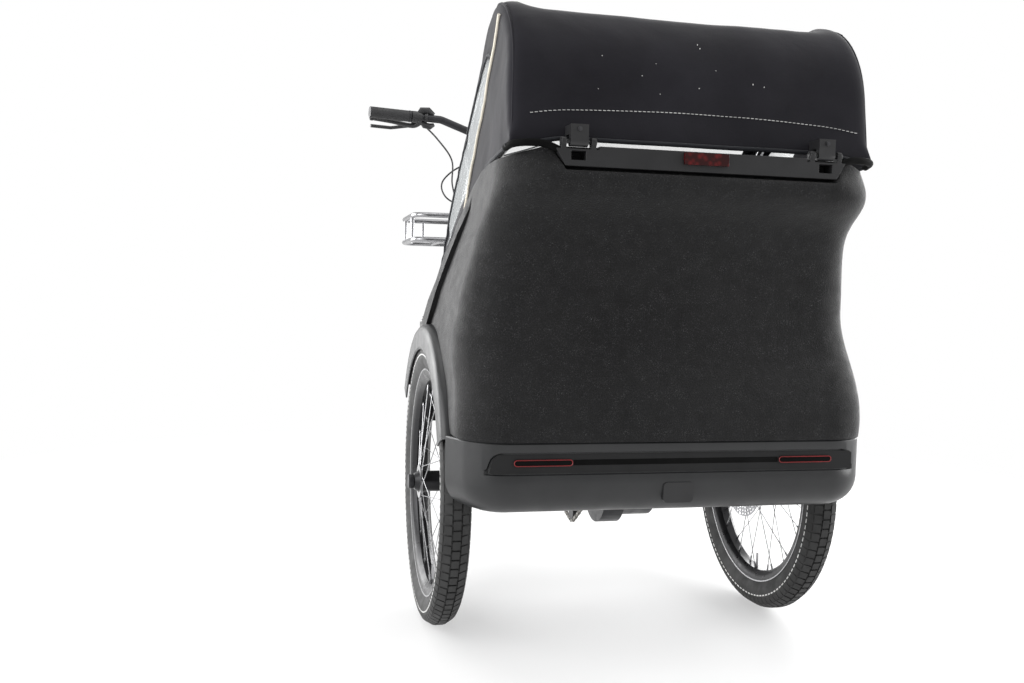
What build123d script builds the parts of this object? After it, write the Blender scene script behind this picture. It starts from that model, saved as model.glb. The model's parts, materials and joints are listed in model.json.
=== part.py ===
"""Electric cargo tricycle: one steered wheel in front, and a foam cabin with a folding canopy between
two rear wheels.

Millimetres. +X right, +Y forward, +Z up. The origin lies on the ground, under the middle of the length.
"""
import os
from math import cos, radians, sin, tan

from build123d import *

os.makedirs("parts", exist_ok=True)

# Clearances: pieces that seat, pieces that run on a pin, pieces that move past each other
SEAT_GAP = 0.3
RUN_GAP = 0.05
MOVE_GAP = 5.0

# Wheels
REAR_AXLE_Y = -628.0
WHEELBASE = 1440.0
TRACK = 660.0
WHEEL_X = TRACK / 2
RIM_SEAT_R = 203.0
TYRE_HEIGHT = 57.0
TYRE_R = RIM_SEAT_R + TYRE_HEIGHT
TYRE_WIDTH = 52.0
TREAD_DROP = 9.0
TREAD_HALF = TYRE_WIDTH / 2 - 4.0
AXLE_Z = TYRE_R
RIM_FLANGE = 2.6
RIM_EDGE_R = RIM_SEAT_R + 6.5
RIM_WIDTH = 38.0
RIM_WELL_R = RIM_SEAT_R - 15.0
SPOKE_COUNT = 32
SPOKE_SIZE = 2.2
SPOKE_LEAN = 60.0
HUB_R = 20.0
HUB_FLANGE_R = 30.0
HUB_FLANGE_X = 26.0
HUB_FLANGE = 3.0
HUB_HALF = 36.0
ROTOR_R = 82.0
ROTOR_INNER_R = 58.0
ROTOR_X = 38.0
ROTOR_THICK = 2.0
ROTOR_ARMS = 5
ROTOR_ARM_WIDTH = 9.0
AXLE_PIN_R = 9.0

# Steering
HEAD_ANGLE = 70.0
FORK_OFFSET = 40.0
HEAD_TUBE_R = 22.0
HEAD_TUBE_LENGTH = 160.0
STEERER_R = 14.3
CROWN_ALONG = 430.0
CROWN_HEIGHT = 32.0
CROWN_DEPTH = 46.0
FORK_LEG_R = 16.0
FORK_LEG_X = 62.0
STEM_R = 17.0
BAR_R = 11.0
BAR_CLAMP_R = 15.9
BAR_Z = 1080.0
BAR_LEAD = 51.0
GRIP_R = 16.0
GRIP_LENGTH = 120.0

# Pedals
CRANK_AHEAD = 860.0
CRANK_Z = 285.0
CRANK_LENGTH = 170.0
CRANK_X = (72.0, 88.0)
CRANK_WIDTH = 28.0
SPINDLE_R = 10.0
CHAINRING_R = 76.0
CHAINRING_X = 48.0
PEDAL_AXLE_R = 7.0
PEDAL_SIZE = (92.0, 84.0, 20.0)

# Cabin tub. Columns: height, rear face ahead of the axle, how much narrower than the cabin, corner radius.
CABIN_HALF = WHEEL_X + 16.0
TUB_SECTIONS = [
    (336.0, -374.0, 2.0, 78.0),
    (386.0, -376.0, 0.0, 80.0),
    (440.0, -376.0, 0.0, 80.0),
    (480.0, -360.0, 0.0, 80.0),
    (515.0, -338.0, 0.0, 80.0),
    (548.0, -325.0, 4.0, 80.0),
    (614.0, -330.0, 14.0, 80.0),
    (663.0, -345.0, 23.5, 80.0),
    (712.0, -368.0, 33.5, 80.0),
    (740.0, -400.0, 38.5, 80.0),
    (771.0, -443.0, 41.0, 90.0),
    (800.0, -441.0, 44.0, 90.0),
    (832.0, -440.0, 47.0, 90.0),
]
TUB_FRONT = 460.0
TUB_WALL = 28.0
TUB_SIDE_X = CABIN_HALF - 46.0
TUB_SIDE_WALL = 30.0
TUB_FLOOR = 27.0
TUB_INNER_REAR = -300.0
TUB_LIP_FRONT = -405.0
WELL_GAP = 32.0
WELL_X = WHEEL_X - 43.0
# Rim of the tub in side view: ahead of the axle, height
TUB_RIM = [(-400.0, 829.0), (-330.0, 815.0), (-245.0, 806.0), (128.0, 684.0), (228.0, 636.0), (340.0, 593.0),
           (428.0, 546.0)]
TUB_FRONT_TOP = 524.0
# Slant of the rim at each rear corner, seen from behind: side offset, height
RIM_SLANT = [(233.0, 829.0), (305.0, 811.0)]
RIM_SLANT_FRONT = -245.0
LIP_REAR = -441.0
# Raised front panel that ends in a gill. Columns: height, gill and front end ahead, how far proud of the flare.
GILL_SECTIONS = [
    (830.0, -183.0, -30.0, 0.0),
    (771.0, -183.0, -10.0, 0.0),
    (753.0, -183.0, 0.0, 1.5),
    (712.0, -141.0, 50.0, 8.0),
    (663.0, -91.0, 150.0, 9.0),
    (614.0, -44.0, 200.0, 9.0),
    (549.0, 15.0, 210.0, 8.0),
    (470.0, 100.0, 215.0, 6.0),
]

# Rear rail and canopy hinge
RAIL_BOTTOM = 798.0
RAIL_TOP = 828.0
RAIL_SHOULDER_TOP = 823.0
RAIL_SHOULDER_X = 165.0
RAIL_LOW_HALF = 216.0
RAIL_HIGH_HALF = 233.0
RAIL_FRONT = -415.0
RAIL_GROOVE = 6.0
RAIL_SLOT_Z = (807.0, 820.0)
HINGE_AHEAD = -437.0
HINGE_Z = 833.0
HINGE_PIN_R = 3.0
KNUCKLE_R = 7.0
KNUCKLE_X = (183.0, 210.0)
LUG_THICK = 8.0
REFLECTOR_HALF = 35.0
REFLECTOR_Z = (808.0, 826.0)

# Canopy in side view: ahead of the axle, height
CANOPY_HEM_Z = 838.0
CANOPY_HEM_REAR = -412.0
CANOPY_KNEE = (-402.0, 931.0)
CANOPY_BACK_ARC = (-362.0, 1026.0)
CANOPY_TOP = (-270.0, 1073.0)
CANOPY_BROW_ARC = (-222.0, 1053.0)
CANOPY_BROW = (-190.0, 1018.0)
CANOPY_NOSE = (262.0, 631.0)
CANOPY_FOOT = 500.0
CANOPY_HALF = CABIN_HALF - 51.0
CANOPY_TOP_HALF = CANOPY_HALF - 4.0
CANOPY_SIDE_TOP = 1028.0
CANOPY_HUMP = 32.0
CANOPY_SAG = 25.0
CANOPY_CORNER = 30.0
APRON_START = 258.0
APRON_THICK = 3.0
COVER_WALL = 2.0
HEM_GAP = 6.0
HOOP_R = 7.0
HOOP_FOOT_Z = 852.0
HOOP_GAP = 3.0
HOOP_CORNER_GAP = 8.0
HOOP_TOP = (-275.0, CANOPY_TOP[1] - CANOPY_SAG - COVER_WALL - HOOP_R - SEAT_GAP)
HOOP_BACK = (-352.0, 1003.0)
FRONT_HOOP_FOOT = (212.0, 658.0)
FRONT_HOOP_TOP = (-200.0, 1000.0)
SIDE_WINDOW = [(-322.0, 888.0), (-312.0, 975.0), (-238.0, 1022.0), (-186.0, 968.0), (98.0, 722.0), (-228.0, 850.0)]
SCREEN_HALF = 252.0
SCREEN_AHEAD = (-165.0, 235.0)
SCREEN_CORNER = 30.0

# Bumper and lamps
BUMPER_TOP = 386.0
BUMPER_BOTTOM = 280.0
BUMPER_REAR = -374.0
BUMPER_HALF = CABIN_HALF - 2.0
BUMPER_END = -283.0
BUMPER_RADIUS = 76.0
BUMPER_FLARE = 67.0
BUMPER_LOW_RADIUS = 58.0
BUMPER_WALL = 18.0
BUMPER_MOUTH_HALF = 250.0
BUMPER_MOUTH_REAR = -330.0
BAND_Z = (337.0, 370.0)
BAND_HALF = 306.0
BAND_DEPTH = 5.0
LAMP_X = 219.0
LAMP_SIZE = (92.0, 9.0)
LAMP_Z = 355.0
LAMP_THICK = 3.0
SLOT_HEIGHT = 8.0
SLOT_DEPTH = 4.0
PORT_Z = 306.0
PORT_SIZE = (50.0, 32.0)
PORT_RADIUS = 7.0
PORT_POCKET = 14.0
PORT_PROUD = 2.0

# Fenders
FENDER_THICK = 2.5
FENDER_R = TYRE_R + WELL_GAP - SEAT_GAP
SKIRT_R = FENDER_R - 47.0
FENDER_INNER_X = WHEEL_X - 29.0
FENDER_OUTER_X = WHEEL_X + 31.0
FENDER_ANGLES = (33.0, 156.0)
FRONT_FENDER_R = TYRE_R + 16.0
FRONT_FENDER_HALF = 32.0

# Front rack
RACK_X = 216.0
RACK_LEAD = 34.0
RACK_LENGTH = 295.0
RACK_R = 8.0
RACK_BAR_R = 6.0
RACK_BEND = 40.0
RACK_HEIGHTS = (770.0, 845.0)
RACK_BARS = (-120.0, 0.0, 120.0)

# Chassis
RAIL_X = 140.0
RAIL_R = 16.0
RAIL_Z = TUB_SECTIONS[0][0] - SEAT_GAP - RAIL_R
RAIL_END = -335.0
CROSS_R = 12.0
CROSS_PLACES = (310.0, 130.0, -130.0, -320.0)
BEAM_START = 430.0
BEAM_SPREAD_END = 340.0
BEAM_R = 24.0
BEAM_Z = RAIL_Z + RAIL_R - BEAM_R
DOWN_TUBE_R = 27.0
TOP_TUBE_R = 17.0
SEAT_TUBE_R = 19.0
SEAT_TUBE_LENGTH = 350.0
SEAT_ANGLE = 72.0
TOP_TUBE_ALONG = 300.0
POST_R = 15.0
POST_DEPTH = 90.0
SADDLE_Z = 892.0
MOTOR_HALF = 40.0
MOTOR_R = 68.0
BATTERY_START = 70.0
BATTERY_ROOM = 179.0
BATTERY_WIDTH = 84.0
BATTERY_DEPTH = 72.0

# Rear drive
DIFF_R = 71.0
DIFF_SUMP = 13.0
GEAR_AHEAD = 250.0
GEAR_Z = 210.0
GEAR_R = 62.0
CHAIN_WIDTH = 8.0
CHAIN_HEIGHT = 8.0
SPROCKET_THICK = 6.0
REAR_CHAIN_X = 98.0
HUB_SPROCKET_R = 40.0
OUT_SPROCKET_R = 34.0
AXLE_SPROCKET_R = 58.0
TENSION_AHEAD = 368.0
TENSION_Z = 112.0
TENSION_R = 22.0

# Wider or higher than the whole vehicle, for cuts that go right through
BEYOND = 1000.0


def at(x, ahead, z):
    """A point from its side offset, its distance ahead of the rear axle and its height."""
    return (x, REAR_AXLE_Y + ahead, z)


def plan(z):
    return Plane(origin=at(0, 0, z), x_dir=(1, 0, 0), z_dir=(0, 0, 1))


def side(x):
    """A plane seen from the right, with distance ahead and height as its axes."""
    return Plane(origin=at(x, 0, 0), x_dir=(0, 1, 0), z_dir=(1, 0, 0))


def rear(ahead):
    """A plane seen from behind, whose extrusions run back."""
    return Plane(origin=at(0, ahead, 0), x_dir=(1, 0, 0), z_dir=(0, -1, 0))


def across(flip, near, far):
    """Two distances from the middle plane as rising values of x, on the side that flip names."""
    return sorted((flip * near, flip * far))


def add_tube(points, radius, bend=None, mode=Mode.ADD):
    """A round bar along straight runs joined by tangent arcs."""
    with BuildLine(mode=Mode.PRIVATE) as route:
        if len(points) > 2:
            FilletPolyline(*points, radius=bend)
        else:
            Line(*points)
    with BuildSketch(Plane(origin=route.line @ 0, z_dir=route.line % 0), mode=Mode.PRIVATE) as section:
        Circle(radius)
    sweep(section.sketch, path=route.line, mode=mode)


def add_box(x, ahead, z, mode=Mode.ADD):
    """A block between two values on each axis."""
    with BuildSketch(plan(z[0]), mode=Mode.PRIVATE) as base:
        with Locations(((x[0] + x[1]) / 2, (ahead[0] + ahead[1]) / 2)):
            Rectangle(x[1] - x[0], ahead[1] - ahead[0])
    extrude(base.sketch, amount=z[1] - z[0], mode=mode)


def add_disc(x, ahead, z, radius, bore=0.0, mode=Mode.ADD):
    """A round plate or drum across the vehicle, between two values of x."""
    with BuildSketch(side(x[0]), mode=Mode.PRIVATE) as face:
        with Locations((ahead, z)):
            Circle(radius)
            if bore:
                Circle(bore, mode=Mode.SUBTRACT)
    extrude(face.sketch, amount=x[1] - x[0], mode=mode)


def add_side_prism(points, x, mode=Mode.ADD):
    """A straight-sided outline in side view, extruded between two values of x."""
    with BuildSketch(side(x[0]), mode=Mode.PRIVATE) as outline:
        with BuildLine():
            Polyline(*points, close=True)
        make_face()
    extrude(outline.sketch, amount=x[1] - x[0], mode=mode)


def write(piece, label):
    piece.label = label
    export_step(piece, f"parts/{label}.step")


# Steering axis: a straight line that leans back, with places measured along it from the axle's height
STEER_DIR = Vector(0, -cos(radians(HEAD_ANGLE)), sin(radians(HEAD_ANGLE)))
STEER_FORWARD = Vector(0, sin(radians(HEAD_ANGLE)), cos(radians(HEAD_ANGLE)))
STEER_FOOT_AHEAD = WHEELBASE - FORK_OFFSET / sin(radians(HEAD_ANGLE))
STEER_FOOT = Vector(*at(0, STEER_FOOT_AHEAD, AXLE_Z))
HEAD_LOW = CROWN_ALONG + CROWN_HEIGHT / 2 + 6.0
HEAD_HIGH = HEAD_LOW + HEAD_TUBE_LENGTH
AXLE_ALONG = -FORK_OFFSET / tan(radians(HEAD_ANGLE))


def on_axis(along, forward=0.0, x=0.0):
    """A point on the steering axis, or set forward square to it and to the side."""
    return STEER_FOOT + STEER_DIR * along + STEER_FORWARD * forward + Vector(x, 0, 0)


def steer_plane(along, forward=0.0, x=0.0):
    return Plane(origin=on_axis(along, forward, x), x_dir=(1, 0, 0), z_dir=STEER_DIR)


def axis_ahead(z):
    """How far ahead of the rear axle the steering axis is at a height."""
    return STEER_FOOT_AHEAD - (z - AXLE_Z) / tan(radians(HEAD_ANGLE))


def seat_point(along):
    """A point on the seat tube's line, from just above the motor."""
    lean = radians(SEAT_ANGLE)
    return at(0, CRANK_AHEAD - 8 - along * cos(lean), CRANK_Z + MOTOR_R + 14 + along * sin(lean))


# Wheels, made once about the X axis through the origin and set in place
WHEEL_SECTION = Plane(origin=(0, 0, 0), x_dir=(1, 0, 0), z_dir=(0, -1, 0))
BEAD_HALF = RIM_WIDTH / 2 - RIM_FLANGE - SEAT_GAP

with BuildPart() as tyre:
    with BuildSketch(WHEEL_SECTION):
        with BuildLine():
            bead_r = RIM_SEAT_R + SEAT_GAP
            widest = (TYRE_WIDTH / 2, (RIM_EDGE_R + TYRE_R) / 2)
            shoulder_r = TYRE_R - TREAD_DROP
            Polyline((TREAD_HALF, shoulder_r), widest, (BEAD_HALF, RIM_EDGE_R), (BEAD_HALF, bead_r),
                     (-BEAD_HALF, bead_r), (-BEAD_HALF, RIM_EDGE_R), (-widest[0], widest[1]),
                     (-TREAD_HALF, shoulder_r))
            ThreePointArc((-TREAD_HALF, shoulder_r), (0, TYRE_R), (TREAD_HALF, shoulder_r))
        make_face()
    revolve(axis=Axis.X)


def add_turned(points):
    """A ring or hub turned about the wheel's axle, from its section: x, radius."""
    with BuildSketch(WHEEL_SECTION, mode=Mode.PRIVATE) as section:
        with BuildLine():
            Polyline(*points, close=True)
        make_face()
    revolve(section.sketch, axis=Axis.X)


def wheel_part(rotor_x):
    """A spoked wheel with its hub, and a brake disc on the side that rotor_x names."""
    half = RIM_WIDTH / 2
    inside = half - RIM_FLANGE
    bore = AXLE_PIN_R + RUN_GAP
    flange = HUB_FLANGE_X + HUB_FLANGE
    rotor_side = 1 if rotor_x > 0 else -1
    with BuildPart() as wheel:
        add_turned([
            (-half, RIM_EDGE_R), (-inside, RIM_EDGE_R), (-inside, RIM_SEAT_R), (inside, RIM_SEAT_R),
            (inside, RIM_EDGE_R), (half, RIM_EDGE_R), (half, RIM_SEAT_R - RIM_FLANGE), (half / 2, RIM_WELL_R),
            (-half / 2, RIM_WELL_R), (-half, RIM_SEAT_R - RIM_FLANGE),
        ])
        add_turned([
            (-HUB_HALF, bore), (-HUB_HALF, HUB_R - 3), (-flange, HUB_R), (-flange, HUB_FLANGE_R),
            (-HUB_FLANGE_X, HUB_FLANGE_R), (-HUB_FLANGE_X, HUB_R), (HUB_FLANGE_X, HUB_R),
            (HUB_FLANGE_X, HUB_FLANGE_R), (flange, HUB_FLANGE_R), (flange, HUB_R), (HUB_HALF, HUB_R - 3),
            (HUB_HALF, bore),
        ])
        for index in range(SPOKE_COUNT):
            angle = 360.0 / SPOKE_COUNT * index
            flip = 1 if index % 2 else -1
            lean = SPOKE_LEAN if index % 4 < 2 else -SPOKE_LEAN
            start = Vector(flip * (HUB_FLANGE_X + HUB_FLANGE / 2), 0, HUB_FLANGE_R - 3).rotate(Axis.X, angle + lean)
            end = Vector(flip * RIM_WIDTH / 10, 0, RIM_WELL_R + 3).rotate(Axis.X, angle)
            run = end - start
            with BuildSketch(Plane(origin=start, z_dir=run), mode=Mode.PRIVATE) as section:
                Rectangle(SPOKE_SIZE, SPOKE_SIZE)
            extrude(section.sketch, amount=run.length)
        with BuildSketch(Plane(origin=(rotor_x - ROTOR_THICK / 2, 0, 0), x_dir=(0, 1, 0), z_dir=(1, 0, 0))):
            Circle(ROTOR_R)
            Circle(ROTOR_INNER_R, mode=Mode.SUBTRACT)
            with PolarLocations((ROTOR_INNER_R + HUB_R) / 2, ROTOR_ARMS):
                Rectangle(ROTOR_INNER_R - HUB_R + 12, ROTOR_ARM_WIDTH)
        extrude(amount=ROTOR_THICK)
        with BuildSketch(Plane(origin=(rotor_side * HUB_HALF - 2, 0, 0), x_dir=(0, 1, 0), z_dir=(1, 0, 0))):
            Circle(HUB_FLANGE_R)
            Circle(bore, mode=Mode.SUBTRACT)
        extrude(amount=4)
    return wheel.part


WHEEL_PLACES = [
    ("rear_{}_left", at(-WHEEL_X, 0, AXLE_Z), ROTOR_X),
    ("rear_{}_right", at(WHEEL_X, 0, AXLE_Z), -ROTOR_X),
    ("front_{}", at(0, WHEELBASE, AXLE_Z), -ROTOR_X),
]
for label, place, rotor_x in WHEEL_PLACES:
    write(wheel_part(rotor_x).moved(Location(place)), label.format("wheel"))
    write(tyre.part.moved(Location(place)), label.format("tyre"))

# Main frame
DOWN_TUBE_TOP = on_axis(HEAD_LOW + 45)
DOWN_TUBE_FOOT = Vector(*at(0, CRANK_AHEAD + 8, CRANK_Z + MOTOR_R + DOWN_TUBE_R + 1))
RACK_BACK = axis_ahead(RACK_HEIGHTS[0]) + RACK_LEAD
RACK_FRONT = RACK_BACK + RACK_LENGTH
RACK_PLATE_BACK = RACK_BACK - RACK_R
MOTOR_SHELL = 22.0
MOTOR_SHELL_HALF = (34.0, 60.0)
RACK_BOSS_HALF = 18.0
RACK_BOSS_Z = (RACK_HEIGHTS[0] - 14.0, RACK_HEIGHTS[0] + 16.0)

with BuildPart() as main_frame:
    add_tube([DOWN_TUBE_TOP, DOWN_TUBE_FOOT], DOWN_TUBE_R)
    add_tube([on_axis(HEAD_HIGH - 40), seat_point(TOP_TUBE_ALONG)], TOP_TUBE_R)
    add_tube([seat_point(0), seat_point(SEAT_TUBE_LENGTH)], SEAT_TUBE_R)
    add_box((-MOTOR_SHELL_HALF[0], MOTOR_SHELL_HALF[0]),
            (CRANK_AHEAD - MOTOR_SHELL_HALF[1], CRANK_AHEAD + MOTOR_SHELL_HALF[1]),
            (CRANK_Z + MOTOR_R + SEAT_GAP, CRANK_Z + MOTOR_R + MOTOR_SHELL))
    add_tube([at(0, CRANK_AHEAD - 30, CRANK_Z + MOTOR_R + 12), at(0, CRANK_AHEAD - 160, BEAM_Z),
              at(0, BEAM_START - 10, BEAM_Z)], BEAM_R, 120)
    for flip in (1, -1):
        add_tube([at(0, BEAM_START, RAIL_Z), at(flip * RAIL_X, BEAM_SPREAD_END, RAIL_Z),
                  at(flip * RAIL_X, RAIL_END, RAIL_Z)], RAIL_R, 60)
    for cross in CROSS_PLACES:
        add_tube([at(-RAIL_X, cross, RAIL_Z), at(RAIL_X, cross, RAIL_Z)], CROSS_R)
    with BuildSketch(steer_plane(HEAD_LOW)):
        Circle(HEAD_TUBE_R)
    extrude(amount=HEAD_TUBE_LENGTH)
    add_box((-RACK_BOSS_HALF, RACK_BOSS_HALF), (axis_ahead(RACK_BOSS_Z[0]), RACK_PLATE_BACK - SEAT_GAP), RACK_BOSS_Z)
    add_disc((-MOTOR_SHELL_HALF[1], MOTOR_SHELL_HALF[1]), CRANK_AHEAD, CRANK_Z, MOTOR_R + SEAT_GAP, mode=Mode.SUBTRACT)
    with BuildSketch(steer_plane(HEAD_LOW - 1)):
        Circle(STEERER_R + RUN_GAP)
    extrude(amount=HEAD_TUBE_LENGTH + 2, mode=Mode.SUBTRACT)
    add_tube([seat_point(SEAT_TUBE_LENGTH + 1), seat_point(SEAT_TUBE_LENGTH - POST_DEPTH - 1)], POST_R + SEAT_GAP,
             mode=Mode.SUBTRACT)
write(main_frame.part, "main_frame")

# Rear axle carrier: hangers, tube, bearing housings, stub axles and their end caps
AXLE_TUBE_R = 22.0
HOUSING_R = 32.0
HOUSING_WIDTH = 24.0
HOUSING_X = WHEEL_X - HUB_HALF - 10.0
AXLE_TUBE_START = REAR_CHAIN_X + SPROCKET_THICK / 2 + SEAT_GAP
CAP_X = WHEEL_X + HUB_HALF + 3.0
CAP_WIDTH = 10.0
CAP_R = 13.0
HANGER_HALF = (6.0, 45.0)
with BuildPart() as rear_axle_carrier:
    for flip in (1, -1):
        add_tube([at(flip * AXLE_TUBE_START, 0, AXLE_Z), at(flip * HOUSING_X, 0, AXLE_Z)], AXLE_TUBE_R)
        add_disc(across(flip, HOUSING_X - HOUSING_WIDTH, HOUSING_X), 0, AXLE_Z, HOUSING_R)
        add_tube([at(flip * (HOUSING_X - 5), 0, AXLE_Z), at(flip * CAP_X, 0, AXLE_Z)], AXLE_PIN_R)
        add_disc(across(flip, CAP_X, CAP_X + CAP_WIDTH), 0, AXLE_Z, CAP_R)
        add_box(across(flip, RAIL_X - HANGER_HALF[0], RAIL_X + HANGER_HALF[0]), (-HANGER_HALF[1], HANGER_HALF[1]),
                (AXLE_Z, RAIL_Z - RAIL_R - SEAT_GAP))
write(rear_axle_carrier.part, "rear_axle_carrier")

DIFF_X = (-18.0, 84.0)
SUMP_X = (-18.0, 22.0)
DIFF_NECK_R = (30.0, 24.0)
with BuildPart() as differential:
    add_disc(DIFF_X, 0, AXLE_Z, DIFF_R)
    add_disc(SUMP_X, 0, AXLE_Z - DIFF_SUMP, DIFF_R)
    add_disc((DIFF_X[1], REAR_CHAIN_X + SPROCKET_THICK / 2), 0, AXLE_Z, DIFF_NECK_R[1])
    add_disc((REAR_CHAIN_X - SPROCKET_THICK / 2, REAR_CHAIN_X + SPROCKET_THICK / 2), 0, AXLE_Z,
             AXLE_SPROCKET_R - CHAIN_HEIGHT / 2 - SEAT_GAP)
    add_disc((-REAR_CHAIN_X - SPROCKET_THICK / 2, DIFF_X[0]), 0, AXLE_Z, DIFF_NECK_R[0])
write(differential.part, "differential")

# Cabin tub: lofted flare, raised front panels, hollow, rear pocket for the rail, wheel wells
FLOOR_Z = TUB_SECTIONS[0][0] + TUB_FLOOR
WELL_R = TYRE_R + WELL_GAP
TUB_INNER_X = TUB_SIDE_X - TUB_SIDE_WALL
POCKET_GAP = 3.0


def half_width(z):
    """Half width of the flare at a height, between the sections of the table."""
    for (low, _, low_in, _), (high, _, high_in, _) in zip(TUB_SECTIONS, TUB_SECTIONS[1:]):
        if low <= z <= high:
            return CABIN_HALF - low_in - (high_in - low_in) * (z - low) / (high - low)


def rail_outline(widen, low, high):
    """The rail's form from behind between two heights, made wider by a gap."""
    slope = (RAIL_HIGH_HALF - RAIL_LOW_HALF) / (RAIL_TOP - RAIL_BOTTOM)
    low_half = RAIL_LOW_HALF + widen + (low - RAIL_BOTTOM) * slope
    high_half = RAIL_LOW_HALF + widen + (high - RAIL_BOTTOM) * slope
    return [(-low_half, low), (low_half, low), (high_half, high), (-high_half, high)]


with BuildPart() as cabin_tub:
    for height, rear_face, narrower, radius in TUB_SECTIONS:
        with BuildSketch(plan(height)):
            with Locations((0, (TUB_FRONT + rear_face) / 2)):
                RectangleRounded(2 * (CABIN_HALF - narrower), TUB_FRONT - rear_face, radius)
    loft()
    gill_line = [(gill, height) for height, gill, _, _ in GILL_SECTIONS]
    for flip in (1, -1):
        add_side_prism([*gill_line, (gill_line[-1][0], 300), (BEYOND, 300), (BEYOND, gill_line[0][1])],
                       across(flip, TUB_SIDE_X, BEYOND), Mode.SUBTRACT)
        for height, gill, front_end, proud in GILL_SECTIONS:
            with BuildSketch(plan(height)):
                with BuildLine():
                    Polyline((flip * (half_width(height) + proud), gill), (flip * (TUB_SIDE_X - 2), front_end),
                             (flip * (TUB_SIDE_X - 4), gill), close=True)
                make_face()
        loft(ruled=True)
    add_side_prism([(LIP_REAR - 40, TUB_RIM[0][1]), *TUB_RIM, (TUB_RIM[-1][0], TUB_FRONT_TOP),
                    (BEYOND, TUB_FRONT_TOP), (BEYOND, BEYOND), (LIP_REAR - 40, BEYOND)],
                   (-BEYOND, BEYOND), Mode.SUBTRACT)
    for flip in (1, -1):
        with BuildSketch(rear(RIM_SLANT_FRONT)):
            with BuildLine():
                Polyline(*[(flip * x, z) for x, z in RIM_SLANT], (flip * BEYOND, RIM_SLANT[1][1]),
                         (flip * BEYOND, BEYOND), (flip * RIM_SLANT[0][0], BEYOND), close=True)
            make_face()
        extrude(amount=BEYOND, mode=Mode.SUBTRACT)
    add_side_prism([(TUB_INNER_REAR, FLOOR_Z), (TUB_INNER_REAR, 690), (-360, 742), (TUB_LIP_FRONT, 775),
                    (TUB_LIP_FRONT, BEYOND), (TUB_FRONT - TUB_WALL, BEYOND), (TUB_FRONT - TUB_WALL, FLOOR_Z)],
                   (-TUB_INNER_X, TUB_INNER_X), Mode.SUBTRACT)
    with BuildSketch(rear(RAIL_FRONT + SEAT_GAP)):
        with BuildLine():
            Polyline(*rail_outline(POCKET_GAP, RAIL_BOTTOM - RAIL_GROOVE, RAIL_TOP + POCKET_GAP), close=True)
        make_face()
    extrude(amount=BEYOND, mode=Mode.SUBTRACT)
    add_box((-BEYOND, BEYOND), (LIP_REAR, TUB_INNER_REAR - 4), (300, BUMPER_TOP + SEAT_GAP), mode=Mode.SUBTRACT)
    for flip in (1, -1):
        add_disc(across(flip, WELL_X, BEYOND), 0, AXLE_Z, WELL_R, mode=Mode.SUBTRACT)
        add_box(across(flip, WELL_X, BEYOND), (LIP_REAR, -240), (300, BUMPER_TOP + SEAT_GAP), mode=Mode.SUBTRACT)
write(cabin_tub.part, "cabin_tub")

CAP_RAIL_OVERHANG = (3.0, 8.0)
CAP_RAIL_HEIGHT = 18.0
with BuildPart() as front_cap_rail:
    add_box((-TUB_SIDE_X, TUB_SIDE_X), (TUB_FRONT - TUB_WALL - CAP_RAIL_OVERHANG[0], TUB_FRONT + CAP_RAIL_OVERHANG[1]),
            (TUB_FRONT_TOP + SEAT_GAP, TUB_FRONT_TOP + CAP_RAIL_HEIGHT))
write(front_cap_rail.part, "front_cap_rail")

# Rear rail with slots below the brackets and the hinge lugs beside them
with BuildPart() as rear_rail:
    with BuildSketch(rear(RAIL_FRONT)):
        with BuildLine():
            Polyline(*rail_outline(0, RAIL_BOTTOM, RAIL_SHOULDER_TOP), close=True)
        make_face()
        with Locations((0, (RAIL_BOTTOM + RAIL_TOP) / 2)):
            Rectangle(2 * RAIL_SHOULDER_X, RAIL_TOP - RAIL_BOTTOM)
        with Locations(*[(flip * sum(KNUCKLE_X) / 2, sum(RAIL_SLOT_Z) / 2) for flip in (1, -1)]):
            Rectangle(KNUCKLE_X[1] - KNUCKLE_X[0] - 5, RAIL_SLOT_Z[1] - RAIL_SLOT_Z[0], mode=Mode.SUBTRACT)
    extrude(amount=RAIL_FRONT - LIP_REAR)
    for flip in (1, -1):
        for edge, outward in ((KNUCKLE_X[0] - MOVE_GAP, -LUG_THICK), (KNUCKLE_X[1] + MOVE_GAP, LUG_THICK)):
            lug = across(flip, edge, edge + outward)
            add_disc(lug, HINGE_AHEAD, HINGE_Z, KNUCKLE_R)
            add_box(lug, (HINGE_AHEAD - 4, HINGE_AHEAD + KNUCKLE_R), (RAIL_SHOULDER_TOP - 2, HINGE_Z))
            add_disc(lug, HINGE_AHEAD, HINGE_Z, HINGE_PIN_R + RUN_GAP, mode=Mode.SUBTRACT)
write(rear_rail.part, "rear_rail")

with BuildPart() as top_reflector:
    add_box((-REFLECTOR_HALF, REFLECTOR_HALF), (LIP_REAR - 6, LIP_REAR - SEAT_GAP), REFLECTOR_Z)
write(top_reflector.part, "top_reflector")


# Bumper: a U-shaped shell that flares out at its ends and is rounded along its lower edge
def bumper_block(inset):
    reach = BUMPER_END + 60.0
    radius = BUMPER_RADIUS - inset
    turn_x = BUMPER_HALF - BUMPER_RADIUS
    turn_ahead = BUMPER_REAR + BUMPER_RADIUS
    mid = radians(BUMPER_FLARE / 2)
    last = radians(BUMPER_FLARE)
    arc = [(turn_x + radius * sin(angle), turn_ahead - radius * cos(angle)) for angle in (0, mid, last)]
    end_half = arc[2][0] + (reach - arc[2][1]) / tan(last)
    with BuildPart() as block:
        with BuildSketch(plan(BUMPER_BOTTOM + inset)):
            with BuildLine():
                ThreePointArc(*arc)
                Polyline(arc[2], (end_half, reach), (-end_half, reach), (-arc[2][0], arc[2][1]))
                ThreePointArc(*[(-x, ahead) for x, ahead in reversed(arc)])
                Line((-arc[0][0], arc[0][1]), arc[0])
            make_face()
        extrude(amount=BUMPER_TOP - BUMPER_BOTTOM)
        low_edges = block.edges().group_by(Axis.Z)[0].sort_by(Axis.Y)[:-1]
        fillet(low_edges, radius=BUMPER_LOW_RADIUS - inset)
    return block.part


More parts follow.
